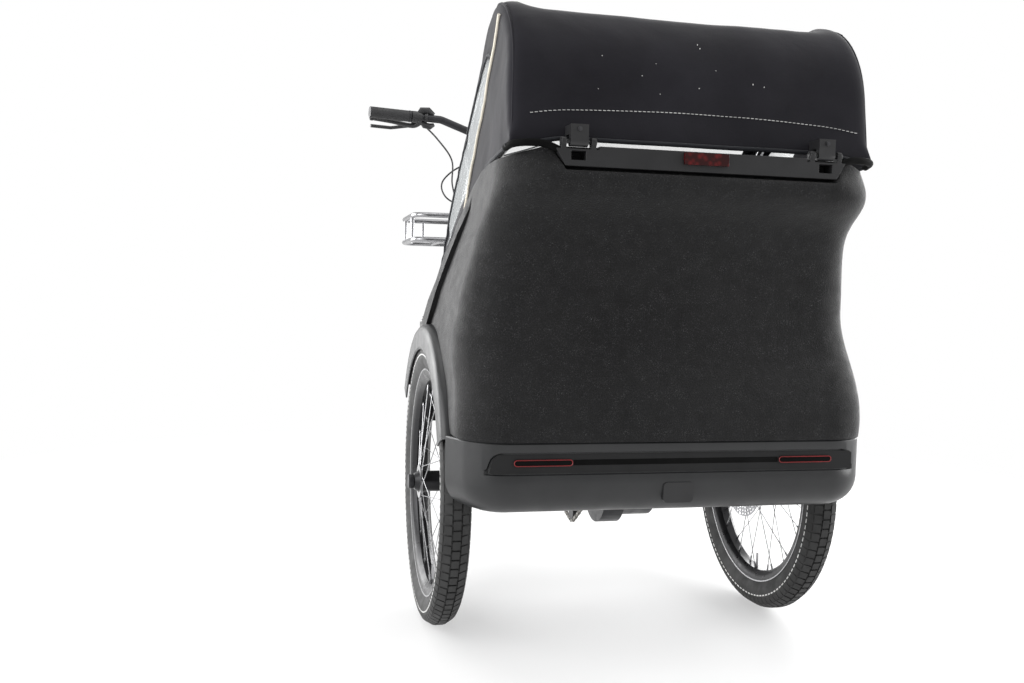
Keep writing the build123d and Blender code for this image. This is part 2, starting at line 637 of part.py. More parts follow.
with BuildPart() as rear_bumper:
    add(bumper_block(0))
    add(bumper_block(BUMPER_WALL), mode=Mode.SUBTRACT)
    add_box((-BEYOND, BEYOND), (BUMPER_END, BEYOND), (0, BEYOND), mode=Mode.SUBTRACT)
    add_box((-BUMPER_MOUTH_HALF, BUMPER_MOUTH_HALF), (BUMPER_MOUTH_REAR, BEYOND), (0, BEYOND), mode=Mode.SUBTRACT)
    with BuildSketch(rear(BUMPER_REAR + BAND_DEPTH)):
        with Locations((0, sum(BAND_Z) / 2)):
            SlotOverall(2 * BAND_HALF, BAND_Z[1] - BAND_Z[0])
    extrude(amount=BAND_DEPTH + 10, mode=Mode.SUBTRACT)
    with BuildSketch(rear(BUMPER_REAR + BAND_DEPTH + SLOT_DEPTH)):
        with Locations((0, LAMP_Z)):
            SlotOverall(2 * (LAMP_X - LAMP_SIZE[0] / 2) - SLOT_HEIGHT, SLOT_HEIGHT)
    extrude(amount=SLOT_DEPTH + 1, mode=Mode.SUBTRACT)
    with BuildSketch(rear(BUMPER_REAR + PORT_POCKET)):
        with Locations((0, PORT_Z)):
            RectangleRounded(PORT_SIZE[0] + 2 * SEAT_GAP, PORT_SIZE[1] + 2 * SEAT_GAP, PORT_RADIUS)
    extrude(amount=PORT_POCKET + 1, mode=Mode.SUBTRACT)
write(rear_bumper.part, "rear_bumper")

with BuildPart() as tail_lights:
    with BuildSketch(rear(BUMPER_REAR + BAND_DEPTH - SEAT_GAP)):
        with Locations((-LAMP_X, LAMP_Z), (LAMP_X, LAMP_Z)):
            SlotOverall(*LAMP_SIZE)
    extrude(amount=LAMP_THICK)
write(tail_lights.part, "tail_lights")

with BuildPart() as port_cover:
    with BuildSketch(rear(BUMPER_REAR + PORT_POCKET - SEAT_GAP)):
        with Locations((0, PORT_Z)):
            RectangleRounded(*PORT_SIZE, PORT_RADIUS)
    extrude(amount=PORT_POCKET - SEAT_GAP + PORT_PROUD)
write(port_cover.part, "port_cover")

# Rear fenders: an arched sheet with a skirt over the tyre's outer side
KEEP_REACH = 500.0
first, last = (radians(angle) for angle in FENDER_ANGLES)
fender_wedge = [(0, AXLE_Z), (KEEP_REACH * cos(first), AXLE_Z + KEEP_REACH * sin(first)),
                (0, AXLE_Z + KEEP_REACH + 100), (KEEP_REACH * cos(last), AXLE_Z + KEEP_REACH * sin(last))]
for flip, label in ((-1, "fender_left"), (1, "fender_right")):
    with BuildPart() as fender:
        add_disc(across(flip, FENDER_INNER_X, FENDER_OUTER_X), 0, AXLE_Z, FENDER_R, FENDER_R - FENDER_THICK)
        add_disc(across(flip, FENDER_OUTER_X - FENDER_THICK, FENDER_OUTER_X), 0, AXLE_Z, FENDER_R, SKIRT_R)
        add_side_prism(fender_wedge, (-BEYOND, BEYOND), Mode.INTERSECT)
    write(fender.part, label)

# Seats
BENCH_HALF = 255.0
BENCH_AHEAD = (-285.0, 35.0)
BENCH_HEIGHT = 150.0
BACK_HALF = 245.0
with BuildPart() as bench_seat:
    add_box((-BENCH_HALF, BENCH_HALF), BENCH_AHEAD, (FLOOR_Z + SEAT_GAP, FLOOR_Z + BENCH_HEIGHT))
write(bench_seat.part, "bench_seat")

with BuildPart() as backrest:
    back_foot = FLOOR_Z + BENCH_HEIGHT + 2
    back_rear = TUB_INNER_REAR + SEAT_GAP
    add_side_prism([(back_rear, back_foot), (back_rear + 50, back_foot), (-300, 800), (-350, 815), (-352, 742),
                    (back_rear, 692)], (-BACK_HALF, BACK_HALF))
write(backrest.part, "backrest")

# Saddle in plan, from its wide rear to its nose
SADDLE_HALF = 75.0
SADDLE_NOSE_HALF = 20.0
SADDLE_AHEAD = (540.0, 590.0, 640.0, 760.0, 780.0)
SADDLE_HEIGHT = 40.0
with BuildPart() as saddle:
    back, wide, narrowing, nose, tip = SADDLE_AHEAD
    with BuildSketch(plan(SADDLE_Z)):
        with BuildLine():
            ThreePointArc((SADDLE_HALF, wide), (0, back), (-SADDLE_HALF, wide))
            Polyline((-SADDLE_HALF, wide), (-SADDLE_HALF, narrowing), (-SADDLE_NOSE_HALF, nose))
            ThreePointArc((-SADDLE_NOSE_HALF, nose), (0, tip), (SADDLE_NOSE_HALF, nose))
            Polyline((SADDLE_NOSE_HALF, nose), (SADDLE_HALF, narrowing), (SADDLE_HALF, wide))
        make_face()
    extrude(amount=SADDLE_HEIGHT)
write(saddle.part, "saddle")

with BuildPart() as seatpost:
    post_top = (SADDLE_Z - SEAT_GAP - 5 - seat_point(0)[2]) / sin(radians(SEAT_ANGLE))
    add_tube([seat_point(SEAT_TUBE_LENGTH - POST_DEPTH), seat_point(post_top)], POST_R)
write(seatpost.part, "seatpost")

# Drive
with BuildPart() as motor:
    add_disc((-MOTOR_HALF, MOTOR_HALF), CRANK_AHEAD, CRANK_Z, MOTOR_R, SPINDLE_R + RUN_GAP)
write(motor.part, "motor")

with BuildPart() as battery:
    tube_run = (DOWN_TUBE_TOP - DOWN_TUBE_FOOT).normalized()
    battery_length = (DOWN_TUBE_TOP - DOWN_TUBE_FOOT).length - BATTERY_START - BATTERY_ROOM
    above_tube = Vector(0, -tube_run.Z, tube_run.Y)
    corner = DOWN_TUBE_FOOT + tube_run * BATTERY_START + above_tube * (DOWN_TUBE_R + SEAT_GAP + BATTERY_DEPTH / 2)
    with BuildSketch(Plane(origin=corner, x_dir=(1, 0, 0), z_dir=tube_run)):
        RectangleRounded(BATTERY_WIDTH, BATTERY_DEPTH, 12)
    extrude(amount=battery_length)
write(battery.part, "battery")

GEAR_X = (-46.0, 38.0)
GEAR_NECK_R = 14.0
GEAR_AXLE_R = 8.0
GEAR_ARM_HALF = (4.0, 25.0)
with BuildPart() as gear_hub:
    add_disc(GEAR_X, GEAR_AHEAD, GEAR_Z, GEAR_R)
    add_disc((GEAR_X[0] - 14, REAR_CHAIN_X + 4), GEAR_AHEAD, GEAR_Z, GEAR_NECK_R)
    for x, radius in ((CHAINRING_X, HUB_SPROCKET_R), (REAR_CHAIN_X, OUT_SPROCKET_R)):
        add_disc((x - SPROCKET_THICK / 2, x + SPROCKET_THICK / 2), GEAR_AHEAD, GEAR_Z,
                 radius - CHAIN_HEIGHT / 2 - SEAT_GAP)
    for flip in (1, -1):
        add_box(across(flip, RAIL_X - GEAR_ARM_HALF[0], RAIL_X + GEAR_ARM_HALF[0]),
                (GEAR_AHEAD - GEAR_ARM_HALF[1], GEAR_AHEAD + GEAR_ARM_HALF[1]),
                (GEAR_Z - 15, RAIL_Z - RAIL_R - SEAT_GAP))
    add_tube([at(-RAIL_X, GEAR_AHEAD, GEAR_Z), at(RAIL_X, GEAR_AHEAD, GEAR_Z)], GEAR_AXLE_R)
write(gear_hub.part, "gear_hub")

# Chain outlines. Columns: ahead, height, pitch radius.
FRONT_SPROCKETS = [(CRANK_AHEAD, CRANK_Z, CHAINRING_R + 5), (GEAR_AHEAD, GEAR_Z, HUB_SPROCKET_R),
                   (TENSION_AHEAD, TENSION_Z, TENSION_R)]
REAR_SPROCKETS = [(GEAR_AHEAD, GEAR_Z, OUT_SPROCKET_R), (0.0, AXLE_Z, AXLE_SPROCKET_R)]


def chain_part(x, sprockets):
    """A chain as a closed band around its sprockets."""
    edges = []
    for shift in (CHAIN_HEIGHT / 2, -CHAIN_HEIGHT / 2):
        with BuildSketch(side(x - CHAIN_WIDTH / 2), mode=Mode.PRIVATE) as edge:
            for ahead, height, radius in sprockets:
                with Locations((ahead, height)):
                    Circle(radius + shift)
            make_hull()
        edges.append(edge.sketch)
    with BuildPart() as chain:
        extrude(edges[0], amount=CHAIN_WIDTH)
        extrude(edges[1], amount=CHAIN_WIDTH, mode=Mode.SUBTRACT)
    return chain.part


write(chain_part(CHAINRING_X, FRONT_SPROCKETS), "drive_chain_front")
write(chain_part(REAR_CHAIN_X, REAR_SPROCKETS), "drive_chain_rear")

TENSION_ARM_X = (CHAINRING_X + 7.0, CHAINRING_X + 12.0)
TENSION_PIN_R = 5.0
with BuildPart() as chain_tensioner:
    add_disc((CHAINRING_X - SPROCKET_THICK / 2, CHAINRING_X + SPROCKET_THICK / 2), TENSION_AHEAD, TENSION_Z,
             TENSION_R - CHAIN_HEIGHT / 2 - SEAT_GAP)
    add_disc((CHAINRING_X - SPROCKET_THICK / 2, TENSION_ARM_X[1]), TENSION_AHEAD, TENSION_Z, TENSION_PIN_R)
    add_side_prism([(TENSION_AHEAD - 9, TENSION_Z - 10), (TENSION_AHEAD + 9, TENSION_Z - 10),
                    (GEAR_AHEAD + 12, GEAR_Z + 10), (GEAR_AHEAD - 12, GEAR_Z - 14)], TENSION_ARM_X)
    add_disc((TENSION_ARM_X[0] - 1, TENSION_ARM_X[1] + 1), GEAR_AHEAD, GEAR_Z, GEAR_NECK_R + SEAT_GAP,
             mode=Mode.SUBTRACT)
write(chain_tensioner.part, "chain_tensioner")

with BuildPart() as crankset:
    add_tube([at(-CRANK_X[1], CRANK_AHEAD, CRANK_Z), at(CRANK_X[1], CRANK_AHEAD, CRANK_Z)], SPINDLE_R)
    add_disc((CHAINRING_X - 2, CHAINRING_X + 2), CRANK_AHEAD, CRANK_Z, CHAINRING_R)
    for flip in (1, -1):
        arm_x = across(flip, *CRANK_X)
        with BuildSketch(side(arm_x[0]), mode=Mode.PRIVATE) as arm:
            with Locations((CRANK_AHEAD + flip * CRANK_LENGTH / 2, CRANK_Z)):
                SlotCenterToCenter(CRANK_LENGTH, CRANK_WIDTH)
        extrude(arm.sketch, amount=arm_x[1] - arm_x[0])
        add_tube([at(flip * sum(CRANK_X) / 2, CRANK_AHEAD + flip * CRANK_LENGTH, CRANK_Z),
                  at(flip * (CRANK_X[1] + PEDAL_SIZE[0]), CRANK_AHEAD + flip * CRANK_LENGTH, CRANK_Z)], PEDAL_AXLE_R)
write(crankset.part, "crankset")

for flip, label in ((-1, "pedal_left"), (1, "pedal_right")):
    with BuildPart() as pedal:
        centre = CRANK_AHEAD + flip * CRANK_LENGTH
        near = CRANK_X[1] + MOVE_GAP
        far = near + PEDAL_SIZE[0]
        add_box(across(flip, near, far), (centre - PEDAL_SIZE[1] / 2, centre + PEDAL_SIZE[1] / 2),
                (CRANK_Z - PEDAL_SIZE[2] / 2, CRANK_Z + PEDAL_SIZE[2] / 2))
        add_disc(across(flip, near - 1, far + 1), centre, CRANK_Z, PEDAL_AXLE_R + RUN_GAP, mode=Mode.SUBTRACT)
    write(pedal.part, label)

# Fork and steerer
DROPOUT = 18.0
with BuildPart() as fork:
    for flip in (1, -1):
        with BuildSketch(steer_plane(AXLE_ALONG - DROPOUT, FORK_OFFSET, flip * FORK_LEG_X)):
            Circle(FORK_LEG_R)
        extrude(amount=CROWN_ALONG + CROWN_HEIGHT / 2 - AXLE_ALONG + DROPOUT)
    with BuildSketch(steer_plane(CROWN_ALONG - CROWN_HEIGHT / 2)):
        for forward in (0, CROWN_DEPTH / 2):
            with Locations((0, forward)):
                RectangleRounded(2 * (FORK_LEG_X + FORK_LEG_R), CROWN_DEPTH, 20)
    extrude(amount=CROWN_HEIGHT)
    with BuildSketch(steer_plane(CROWN_ALONG)):
        Circle(STEERER_R)
    extrude(amount=HEAD_HIGH - CROWN_ALONG + 40)
    add_tube([at(-FORK_LEG_X, WHEELBASE, AXLE_Z), at(FORK_LEG_X, WHEELBASE, AXLE_Z)], AXLE_PIN_R)
write(fork.part, "fork")

BAR_AHEAD = axis_ahead(BAR_Z) + BAR_LEAD
STEM_TOP = (BAR_Z - 12.0 - AXLE_Z) / sin(radians(HEAD_ANGLE))
STEM_COLLAR = 36.0
STEM_COLLAR_R = 19.0
CLAMP_HALF = 24.0
CLAMP_WALL = 5.0
with BuildPart() as stem:
    with BuildSketch(steer_plane(HEAD_HIGH + 6)):
        Circle(STEM_COLLAR_R)
        Circle(STEERER_R + SEAT_GAP, mode=Mode.SUBTRACT)
    extrude(amount=STEM_COLLAR)
    with BuildSketch(steer_plane(HEAD_HIGH + 41)):
        Circle(STEM_R)
    extrude(amount=STEM_TOP - HEAD_HIGH - 41)
    add_tube([on_axis(STEM_TOP - 18), at(0, BAR_AHEAD - 4, BAR_Z)], STEM_R - 2)
    add_tube([at(-CLAMP_HALF, BAR_AHEAD, BAR_Z), at(CLAMP_HALF, BAR_AHEAD, BAR_Z)], BAR_CLAMP_R + CLAMP_WALL)
    add_tube([at(-CLAMP_HALF - 1, BAR_AHEAD, BAR_Z), at(CLAMP_HALF + 1, BAR_AHEAD, BAR_Z)], BAR_CLAMP_R + SEAT_GAP,
             mode=Mode.SUBTRACT)
write(stem.part, "stem")

# Handlebar, from its end to the middle. Columns: x, ahead of the clamp, above the clamp.
BAR_HALF_ROUTE = [(366.0, -41.0, 43.0), (158.0, -12.0, 38.0), (44.0, 0.0, 0.0)]
BAR_BEND = 40.0


def bar_point(flip, x, forward, above):
    return Vector(*at(flip * x, BAR_AHEAD + forward, BAR_Z + above))


with BuildPart() as handlebar:
    left = [bar_point(-1, *row) for row in BAR_HALF_ROUTE]
    right = [bar_point(1, *row) for row in reversed(BAR_HALF_ROUTE)]
    add_tube(left + right, BAR_R, BAR_BEND)
    add_tube([at(-CLAMP_HALF - 2, BAR_AHEAD, BAR_Z), at(CLAMP_HALF + 2, BAR_AHEAD, BAR_Z)], BAR_CLAMP_R)
write(handlebar.part, "handlebar")


def grip_line(flip):
    """The bar's outer end and the direction inwards along the grip."""
    outer_end = bar_point(flip, *BAR_HALF_ROUTE[0])
    return outer_end, (bar_point(flip, *BAR_HALF_ROUTE[1]) - outer_end).normalized()


GRIP_END = 4.0
with BuildPart() as grips:
    for flip in (1, -1):
        outer_end, run = grip_line(flip)
        with BuildSketch(Plane(origin=outer_end - run * GRIP_END, z_dir=run)):
            Circle(GRIP_R)
        extrude(amount=GRIP_LENGTH)
        with BuildSketch(Plane(origin=outer_end - run * SEAT_GAP, z_dir=run)):
            Circle(BAR_R + SEAT_GAP)
        extrude(amount=GRIP_LENGTH, mode=Mode.SUBTRACT)
write(grips.part, "grips")

# Brake levers with their clamps. The blade's columns: x, ahead of the clamp, above the clamp.
LEVER_ROUTE = [(240.0, 24.0, 22.0), (300.0, 38.0, 14.0), (362.0, 20.0, 14.0)]
LEVER_R = 5.0
LEVER_RING = 18.0
with BuildPart() as bar_controls:
    for flip in (1, -1):
        outer_end, run = grip_line(flip)
        ring = outer_end + run * GRIP_LENGTH
        add_tube([ring + run * LEVER_RING / 2 + Vector(0, 8, -8), *[bar_point(flip, *row) for row in LEVER_ROUTE]],
                 LEVER_R, 12)
        with BuildSketch(Plane(origin=ring, z_dir=run)):
            Circle(BAR_R + 6)
        extrude(amount=LEVER_RING)
        with BuildSketch(Plane(origin=ring - run * 20, z_dir=run)):
            Circle(BAR_R + SEAT_GAP)
        extrude(amount=60, mode=Mode.SUBTRACT)
write(bar_controls.part, "bar_controls")

DISPLAY_SIZE = (56.0, 38.0, 14.0)
with BuildPart() as display:
    display_z = BAR_Z + BAR_CLAMP_R + CLAMP_WALL + SEAT_GAP
    add_box((-DISPLAY_SIZE[0] / 2, DISPLAY_SIZE[0] / 2), (BAR_AHEAD - 12, BAR_AHEAD - 12 + DISPLAY_SIZE[1]),
            (display_z, display_z + DISPLAY_SIZE[2]))
write(display.part, "display")

# Front rack: two hoops of tube, deck bars, posts and a plate to the head tube's boss
POST_PLACES = ((RACK_X, RACK_BACK + 60), (RACK_X, RACK_FRONT - 60), (150.0, RACK_FRONT))
with BuildPart() as front_rack:
    for height in RACK_HEIGHTS:
        corners = [at(0, RACK_BACK, height), at(RACK_X, RACK_BACK, height), at(RACK_X, RACK_FRONT, height),
                   at(-RACK_X, RACK_FRONT, height), at(-RACK_X, RACK_BACK, height), at(-1, RACK_BACK, height)]
        add_tube(corners, RACK_R, RACK_BEND)
    for x in RACK_BARS:
        add_tube([at(x, RACK_BACK, RACK_HEIGHTS[0]), at(x, RACK_FRONT, RACK_HEIGHTS[0])], RACK_BAR_R)
    for x, ahead in POST_PLACES:
        for flip in (1, -1):
            add_tube([at(flip * x, ahead, RACK_HEIGHTS[0]), at(flip * x, ahead, RACK_HEIGHTS[1])], RACK_BAR_R)
    add_box((-34, 34), (RACK_PLATE_BACK, RACK_BACK), (RACK_HEIGHTS[0] - 4, RACK_HEIGHTS[1] + 8))
write(front_rack.part, "front_rack")

HEADLIGHT_R = 26.0
HEADLIGHT_DEPTH = 34.0
with BuildPart() as headlight:
    with BuildSketch(rear(RACK_FRONT + RACK_R + SEAT_GAP + HEADLIGHT_DEPTH)):
        with Locations((0, RACK_HEIGHTS[0] + 18)):
            Circle(HEADLIGHT_R)
    extrude(amount=HEADLIGHT_DEPTH)
write(headlight.part, "headlight")


# Canopy: a shell on an outline in side view and one from behind, its windows and its hoops
def canopy_block(inset):
    """The outer form drawn in by inset, open downwards."""
    back = CANOPY_HEM_REAR + inset
    knee = (CANOPY_KNEE[0] + inset, CANOPY_KNEE[1])
    top = (CANOPY_TOP[0], CANOPY_TOP[1] - inset)
    brow = (CANOPY_BROW[0] - inset, CANOPY_BROW[1] - inset)
    nose = (CANOPY_NOSE[0] - inset, CANOPY_NOSE[1] - inset)
    low = CANOPY_HALF - inset
    high = CANOPY_TOP_HALF - inset
    ridge = CANOPY_TOP_HALF - CANOPY_HUMP
    valley = ridge - CANOPY_HUMP
    corner = (high - (CANOPY_HUMP - inset) * 0.3, CANOPY_TOP[1] - inset - 12)
    with BuildPart() as block:
        with BuildSketch(side(-low)):
            with BuildLine():
                Polyline((back, CANOPY_FOOT), (back, CANOPY_HEM_Z), knee)
                ThreePointArc(knee, (CANOPY_BACK_ARC[0] + inset, CANOPY_BACK_ARC[1] - inset), top)
                ThreePointArc(top, (CANOPY_BROW_ARC[0] - inset, CANOPY_BROW_ARC[1] - inset), brow)
                Polyline(brow, nose, (nose[0], CANOPY_FOOT), (back, CANOPY_FOOT))
            make_face()
        extrude(amount=2 * low)
        with BuildSketch(rear(BEYOND)):
            with BuildLine():
                Polyline((-high, CANOPY_SIDE_TOP), (-low, CANOPY_HEM_Z), (-low, CANOPY_FOOT), (low, CANOPY_FOOT),
                         (low, CANOPY_HEM_Z), (high, CANOPY_SIDE_TOP))
                ThreePointArc((high, CANOPY_SIDE_TOP), corner, (ridge, top[1]))
                Polyline((ridge, top[1]), (valley, top[1] - CANOPY_SAG), (-valley, top[1] - CANOPY_SAG),
                         (-ridge, top[1]))
                ThreePointArc((-ridge, top[1]), (-corner[0], corner[1]), (-high, CANOPY_SIDE_TOP))
            make_face()
        extrude(amount=2 * BEYOND, mode=Mode.INTERSECT)
        with BuildSketch(plan(CANOPY_FOOT)):
            with Locations((0, back + BEYOND / 2)):
                RectangleRounded(2 * low, BEYOND, CANOPY_CORNER - inset)
        extrude(amount=BEYOND, mode=Mode.INTERSECT)
    return block.part


HEM = [(ahead, height + HEM_GAP) for ahead, height in TUB_RIM]
APRON = [(APRON_START, CANOPY_NOSE[1] - 1.5), HEM[-2], HEM[-1], (TUB_FRONT + 12, HEM[-1][1])]

with BuildPart() as canopy_shell:
    add(canopy_block(0))
    add(canopy_block(COVER_WALL), mode=Mode.SUBTRACT)
    add_side_prism([(-BEYOND, 300), (-BEYOND, CANOPY_HEM_Z), (-392, CANOPY_HEM_Z), *HEM[1:], (BEYOND, HEM[-1][1]),
                    (BEYOND, 300)], (-BEYOND, BEYOND), Mode.SUBTRACT)
    add_side_prism([*APRON, *[(ahead, height + APRON_THICK) for ahead, height in reversed(APRON)]],
                   (-CANOPY_HALF, CANOPY_HALF))

with BuildSketch(side(-BEYOND)) as side_window:
    with BuildLine():
        Polyline(*SIDE_WINDOW, close=True)
    make_face()

with BuildSketch(plan(CANOPY_FOOT)) as screen_outline:
    with Locations((0, sum(SCREEN_AHEAD) / 2)):
        RectangleRounded(2 * SCREEN_HALF, SCREEN_AHEAD[1] - SCREEN_AHEAD[0], SCREEN_CORNER)

with BuildPart() as canopy_cover:
    add(canopy_shell.part)
    extrude(side_window.sketch, amount=2 * BEYOND, mode=Mode.SUBTRACT)
    extrude(screen_outline.sketch, amount=BEYOND, mode=Mode.SUBTRACT)
write(canopy_cover.part, "canopy_cover")

for label, outline in (("canopy_windows", side_window), ("windscreen", screen_outline)):
    with BuildPart() as pane:
        add(canopy_shell.part)
        extrude(outline.sketch, amount=2 * BEYOND, mode=Mode.INTERSECT)
    write(pane.part, label)

HOOP_BEND = 30.0
SILL_BEND = 60.0
with BuildPart() as canopy_frame:
    inside = COVER_WALL + HOOP_R
    hoop_x = CANOPY_TOP_HALF - inside - HOOP_GAP - 9
    foot_x = CANOPY_HALF - inside - HOOP_CORNER_GAP - 2
    knee_x = (foot_x + hoop_x) / 2
    foot = (CANOPY_HEM_REAR + inside + HOOP_CORNER_GAP + 2, HOOP_FOOT_Z)
    knee = (CANOPY_KNEE[0] + inside + HOOP_CORNER_GAP, CANOPY_KNEE[1] + 4)
    back = (HOOP_BACK[0] + inside + 2, HOOP_BACK[1])
    rear_hoop = [(-foot_x, foot), (-knee_x, knee), (-hoop_x, back), (-hoop_x, HOOP_TOP), (hoop_x, HOOP_TOP),
                 (hoop_x, back), (knee_x, knee), (foot_x, foot)]
    front_hoop = [(-foot_x, FRONT_HOOP_FOOT), (-hoop_x, FRONT_HOOP_TOP), (hoop_x, FRONT_HOOP_TOP),
                  (foot_x, FRONT_HOOP_FOOT)]
    for hoop in (rear_hoop, front_hoop):
        add_tube([at(x, *place) for x, place in hoop], HOOP_R, HOOP_BEND)
    add_tube([at(-foot_x, *foot), at(foot_x, *foot)], HOOP_R)
    for flip in (1, -1):
        sill = [foot, (-240, 830), (130, 704), FRONT_HOOP_FOOT]
        add_tube([at(flip * foot_x, *place) for place in sill], HOOP_R, SILL_BEND)
write(canopy_frame.part, "canopy_frame")

BRACKET_TOP = 858.0
BRACKET_STEP_Z = 844.0
with BuildPart() as canopy_hinges:
    for flip in (1, -1):
        near, far = across(flip, *KNUCKLE_X)
        reach = MOVE_GAP + LUG_THICK + 1
        add_disc((near - reach, far + reach), HINGE_AHEAD, HINGE_Z, HINGE_PIN_R)
        add_disc((near, far), HINGE_AHEAD, HINGE_Z, KNUCKLE_R)
        add_box((near, far), (HINGE_AHEAD - KNUCKLE_R, HINGE_AHEAD + 3), (HINGE_Z, BRACKET_TOP))
        add_box((near, far), (HINGE_AHEAD - KNUCKLE_R, CANOPY_HEM_REAR - SEAT_GAP), (BRACKET_STEP_Z, BRACKET_TOP))
write(canopy_hinges.part, "canopy_hinges")

# Brake calipers, each with a slot for its disc and a foot on the axle housing or the fork leg
CALIPER_ALONG = (56.0, 92.0)
CALIPER_HALF = 34.0
DISC_SLOT_HALF = 3.0
DISC_SLOT_R = ROTOR_R + 4.0
CALIPER_FOOT = (26.0, 8.0)
with BuildPart() as rear_calipers:
    rotor = WHEEL_X - ROTOR_X
    for flip in (1, -1):
        add_box(across(flip, rotor - CALIPER_FOOT[0], rotor + 9), CALIPER_ALONG,
                (AXLE_Z - CALIPER_HALF, AXLE_Z + CALIPER_HALF))
        add_disc(across(flip, rotor - DISC_SLOT_HALF, rotor + DISC_SLOT_HALF), 0, AXLE_Z, DISC_SLOT_R,
                 mode=Mode.SUBTRACT)
        add_box(across(flip, rotor - CALIPER_FOOT[0], rotor - CALIPER_FOOT[1]),
                (HOUSING_R + SEAT_GAP, CALIPER_ALONG[0] + 1), (AXLE_Z - 12, AXLE_Z + 12))
write(rear_calipers.part, "rear_calipers")

with BuildPart() as front_caliper:
    add_box((-FORK_LEG_X, 9 - ROTOR_X), (WHEELBASE - CALIPER_ALONG[1], WHEELBASE - CALIPER_ALONG[0]),
            (AXLE_Z - CALIPER_HALF, AXLE_Z + CALIPER_HALF))
    add_disc((-ROTOR_X - DISC_SLOT_HALF, -ROTOR_X + DISC_SLOT_HALF), WHEELBASE, AXLE_Z, DISC_SLOT_R,
             mode=Mode.SUBTRACT)
    add_box((-FORK_LEG_X, -ROTOR_X - CALIPER_FOOT[1]), (WHEELBASE - CALIPER_ALONG[0] - 1, WHEELBASE - 14),
            (AXLE_Z - 6, AXLE_Z + 18))
    with BuildSketch(steer_plane(-80, FORK_OFFSET, -FORK_LEG_X)):
        Circle(FORK_LEG_R + SEAT_GAP)
    extrude(amount=200, mode=Mode.SUBTRACT)
write(front_caliper.part, "front_caliper")

# Front fender with its stay up to the crown
STAY_R = 6.0
with BuildPart() as front_fender:
    add_disc((-FRONT_FENDER_HALF, FRONT_FENDER_HALF), WHEELBASE, AXLE_Z, FRONT_FENDER_R, FRONT_FENDER_R - FENDER_THICK)
    add_side_prism([(WHEELBASE, AXLE_Z), (WHEELBASE + 400, AXLE_Z + 300), (WHEELBASE, AXLE_Z + 600),
                    (WHEELBASE - 600, AXLE_Z + 300), (WHEELBASE - 600, AXLE_Z - 60)], (-BEYOND, BEYOND),
                   Mode.INTERSECT)
    add_tube([on_axis(AXLE_ALONG + FRONT_FENDER_R - 2, FORK_OFFSET),
              on_axis(CROWN_ALONG - CROWN_HEIGHT / 2 - SEAT_GAP, FORK_OFFSET)], STAY_R)
write(front_fender.part, "front_fender")
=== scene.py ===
"""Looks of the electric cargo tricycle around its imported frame, in metres: +X right, +Y forward, +Z up."""
import json
from math import cos, pi, radians, sin

import bmesh
import bpy
from mathutils import Matrix, Vector, noise


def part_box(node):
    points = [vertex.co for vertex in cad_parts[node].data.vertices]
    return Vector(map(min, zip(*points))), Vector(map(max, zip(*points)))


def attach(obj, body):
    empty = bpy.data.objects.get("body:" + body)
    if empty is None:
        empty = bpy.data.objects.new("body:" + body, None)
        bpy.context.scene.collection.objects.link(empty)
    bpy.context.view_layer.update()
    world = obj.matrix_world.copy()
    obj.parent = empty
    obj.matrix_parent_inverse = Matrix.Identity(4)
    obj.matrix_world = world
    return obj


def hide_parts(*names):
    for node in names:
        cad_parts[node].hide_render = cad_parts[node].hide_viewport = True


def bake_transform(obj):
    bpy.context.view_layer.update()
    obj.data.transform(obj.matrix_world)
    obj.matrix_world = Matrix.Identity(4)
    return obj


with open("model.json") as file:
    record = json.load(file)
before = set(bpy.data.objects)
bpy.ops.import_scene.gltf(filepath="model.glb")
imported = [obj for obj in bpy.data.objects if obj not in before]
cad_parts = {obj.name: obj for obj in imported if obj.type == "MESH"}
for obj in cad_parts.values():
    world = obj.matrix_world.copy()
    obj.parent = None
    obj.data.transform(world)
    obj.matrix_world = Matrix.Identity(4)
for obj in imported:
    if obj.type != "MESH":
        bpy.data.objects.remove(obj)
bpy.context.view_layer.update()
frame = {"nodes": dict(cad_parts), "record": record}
NODES = frame["nodes"]
SCENE = bpy.context.scene
SCENE.view_settings.view_transform = "Standard"

# Camera: its place, the way it looks and its lens
CAMERA_PLACE = Vector((-0.6119, -2.4777, 0.6147))
CAMERA_YAW = radians(12.914)
CAMERA_PITCH = radians(-2.811)
CAMERA_ROLL = radians(1.323)
CAMERA_LENS = 35.49
SENSOR_WIDTH = 36.0


def make_camera():
    flat = cos(CAMERA_PITCH)
    forward = Vector((sin(CAMERA_YAW) * flat, cos(CAMERA_YAW) * flat, sin(CAMERA_PITCH)))
    level = Vector((cos(CAMERA_YAW), -sin(CAMERA_YAW), 0))
    upright = level.cross(forward)
    right = level * cos(CAMERA_ROLL) + upright * sin(CAMERA_ROLL)
    up = upright * cos(CAMERA_ROLL) - level * sin(CAMERA_ROLL)
    turned = Matrix((right, up, -forward)).transposed()
    data = bpy.data.cameras.new("camera")
    data.lens = CAMERA_LENS
    data.sensor_width = SENSOR_WIDTH
    camera = bpy.data.objects.new("camera", data)
    camera.matrix_world = Matrix.Translation(CAMERA_PLACE) @ turned.to_4x4()
    SCENE.collection.objects.link(camera)
    SCENE.camera = camera


# A colour Mix node's sockets: its factor and two colours, and its result
MIX_INPUTS = (0, 6, 7)
MIX_RESULT = 2


def fill(node, **values):
    """Sets sockets to numbers; an underscore stands for a space in a socket's name."""
    for socket, value in values.items():
        node.inputs[socket.replace("_", " ")].default_value = value


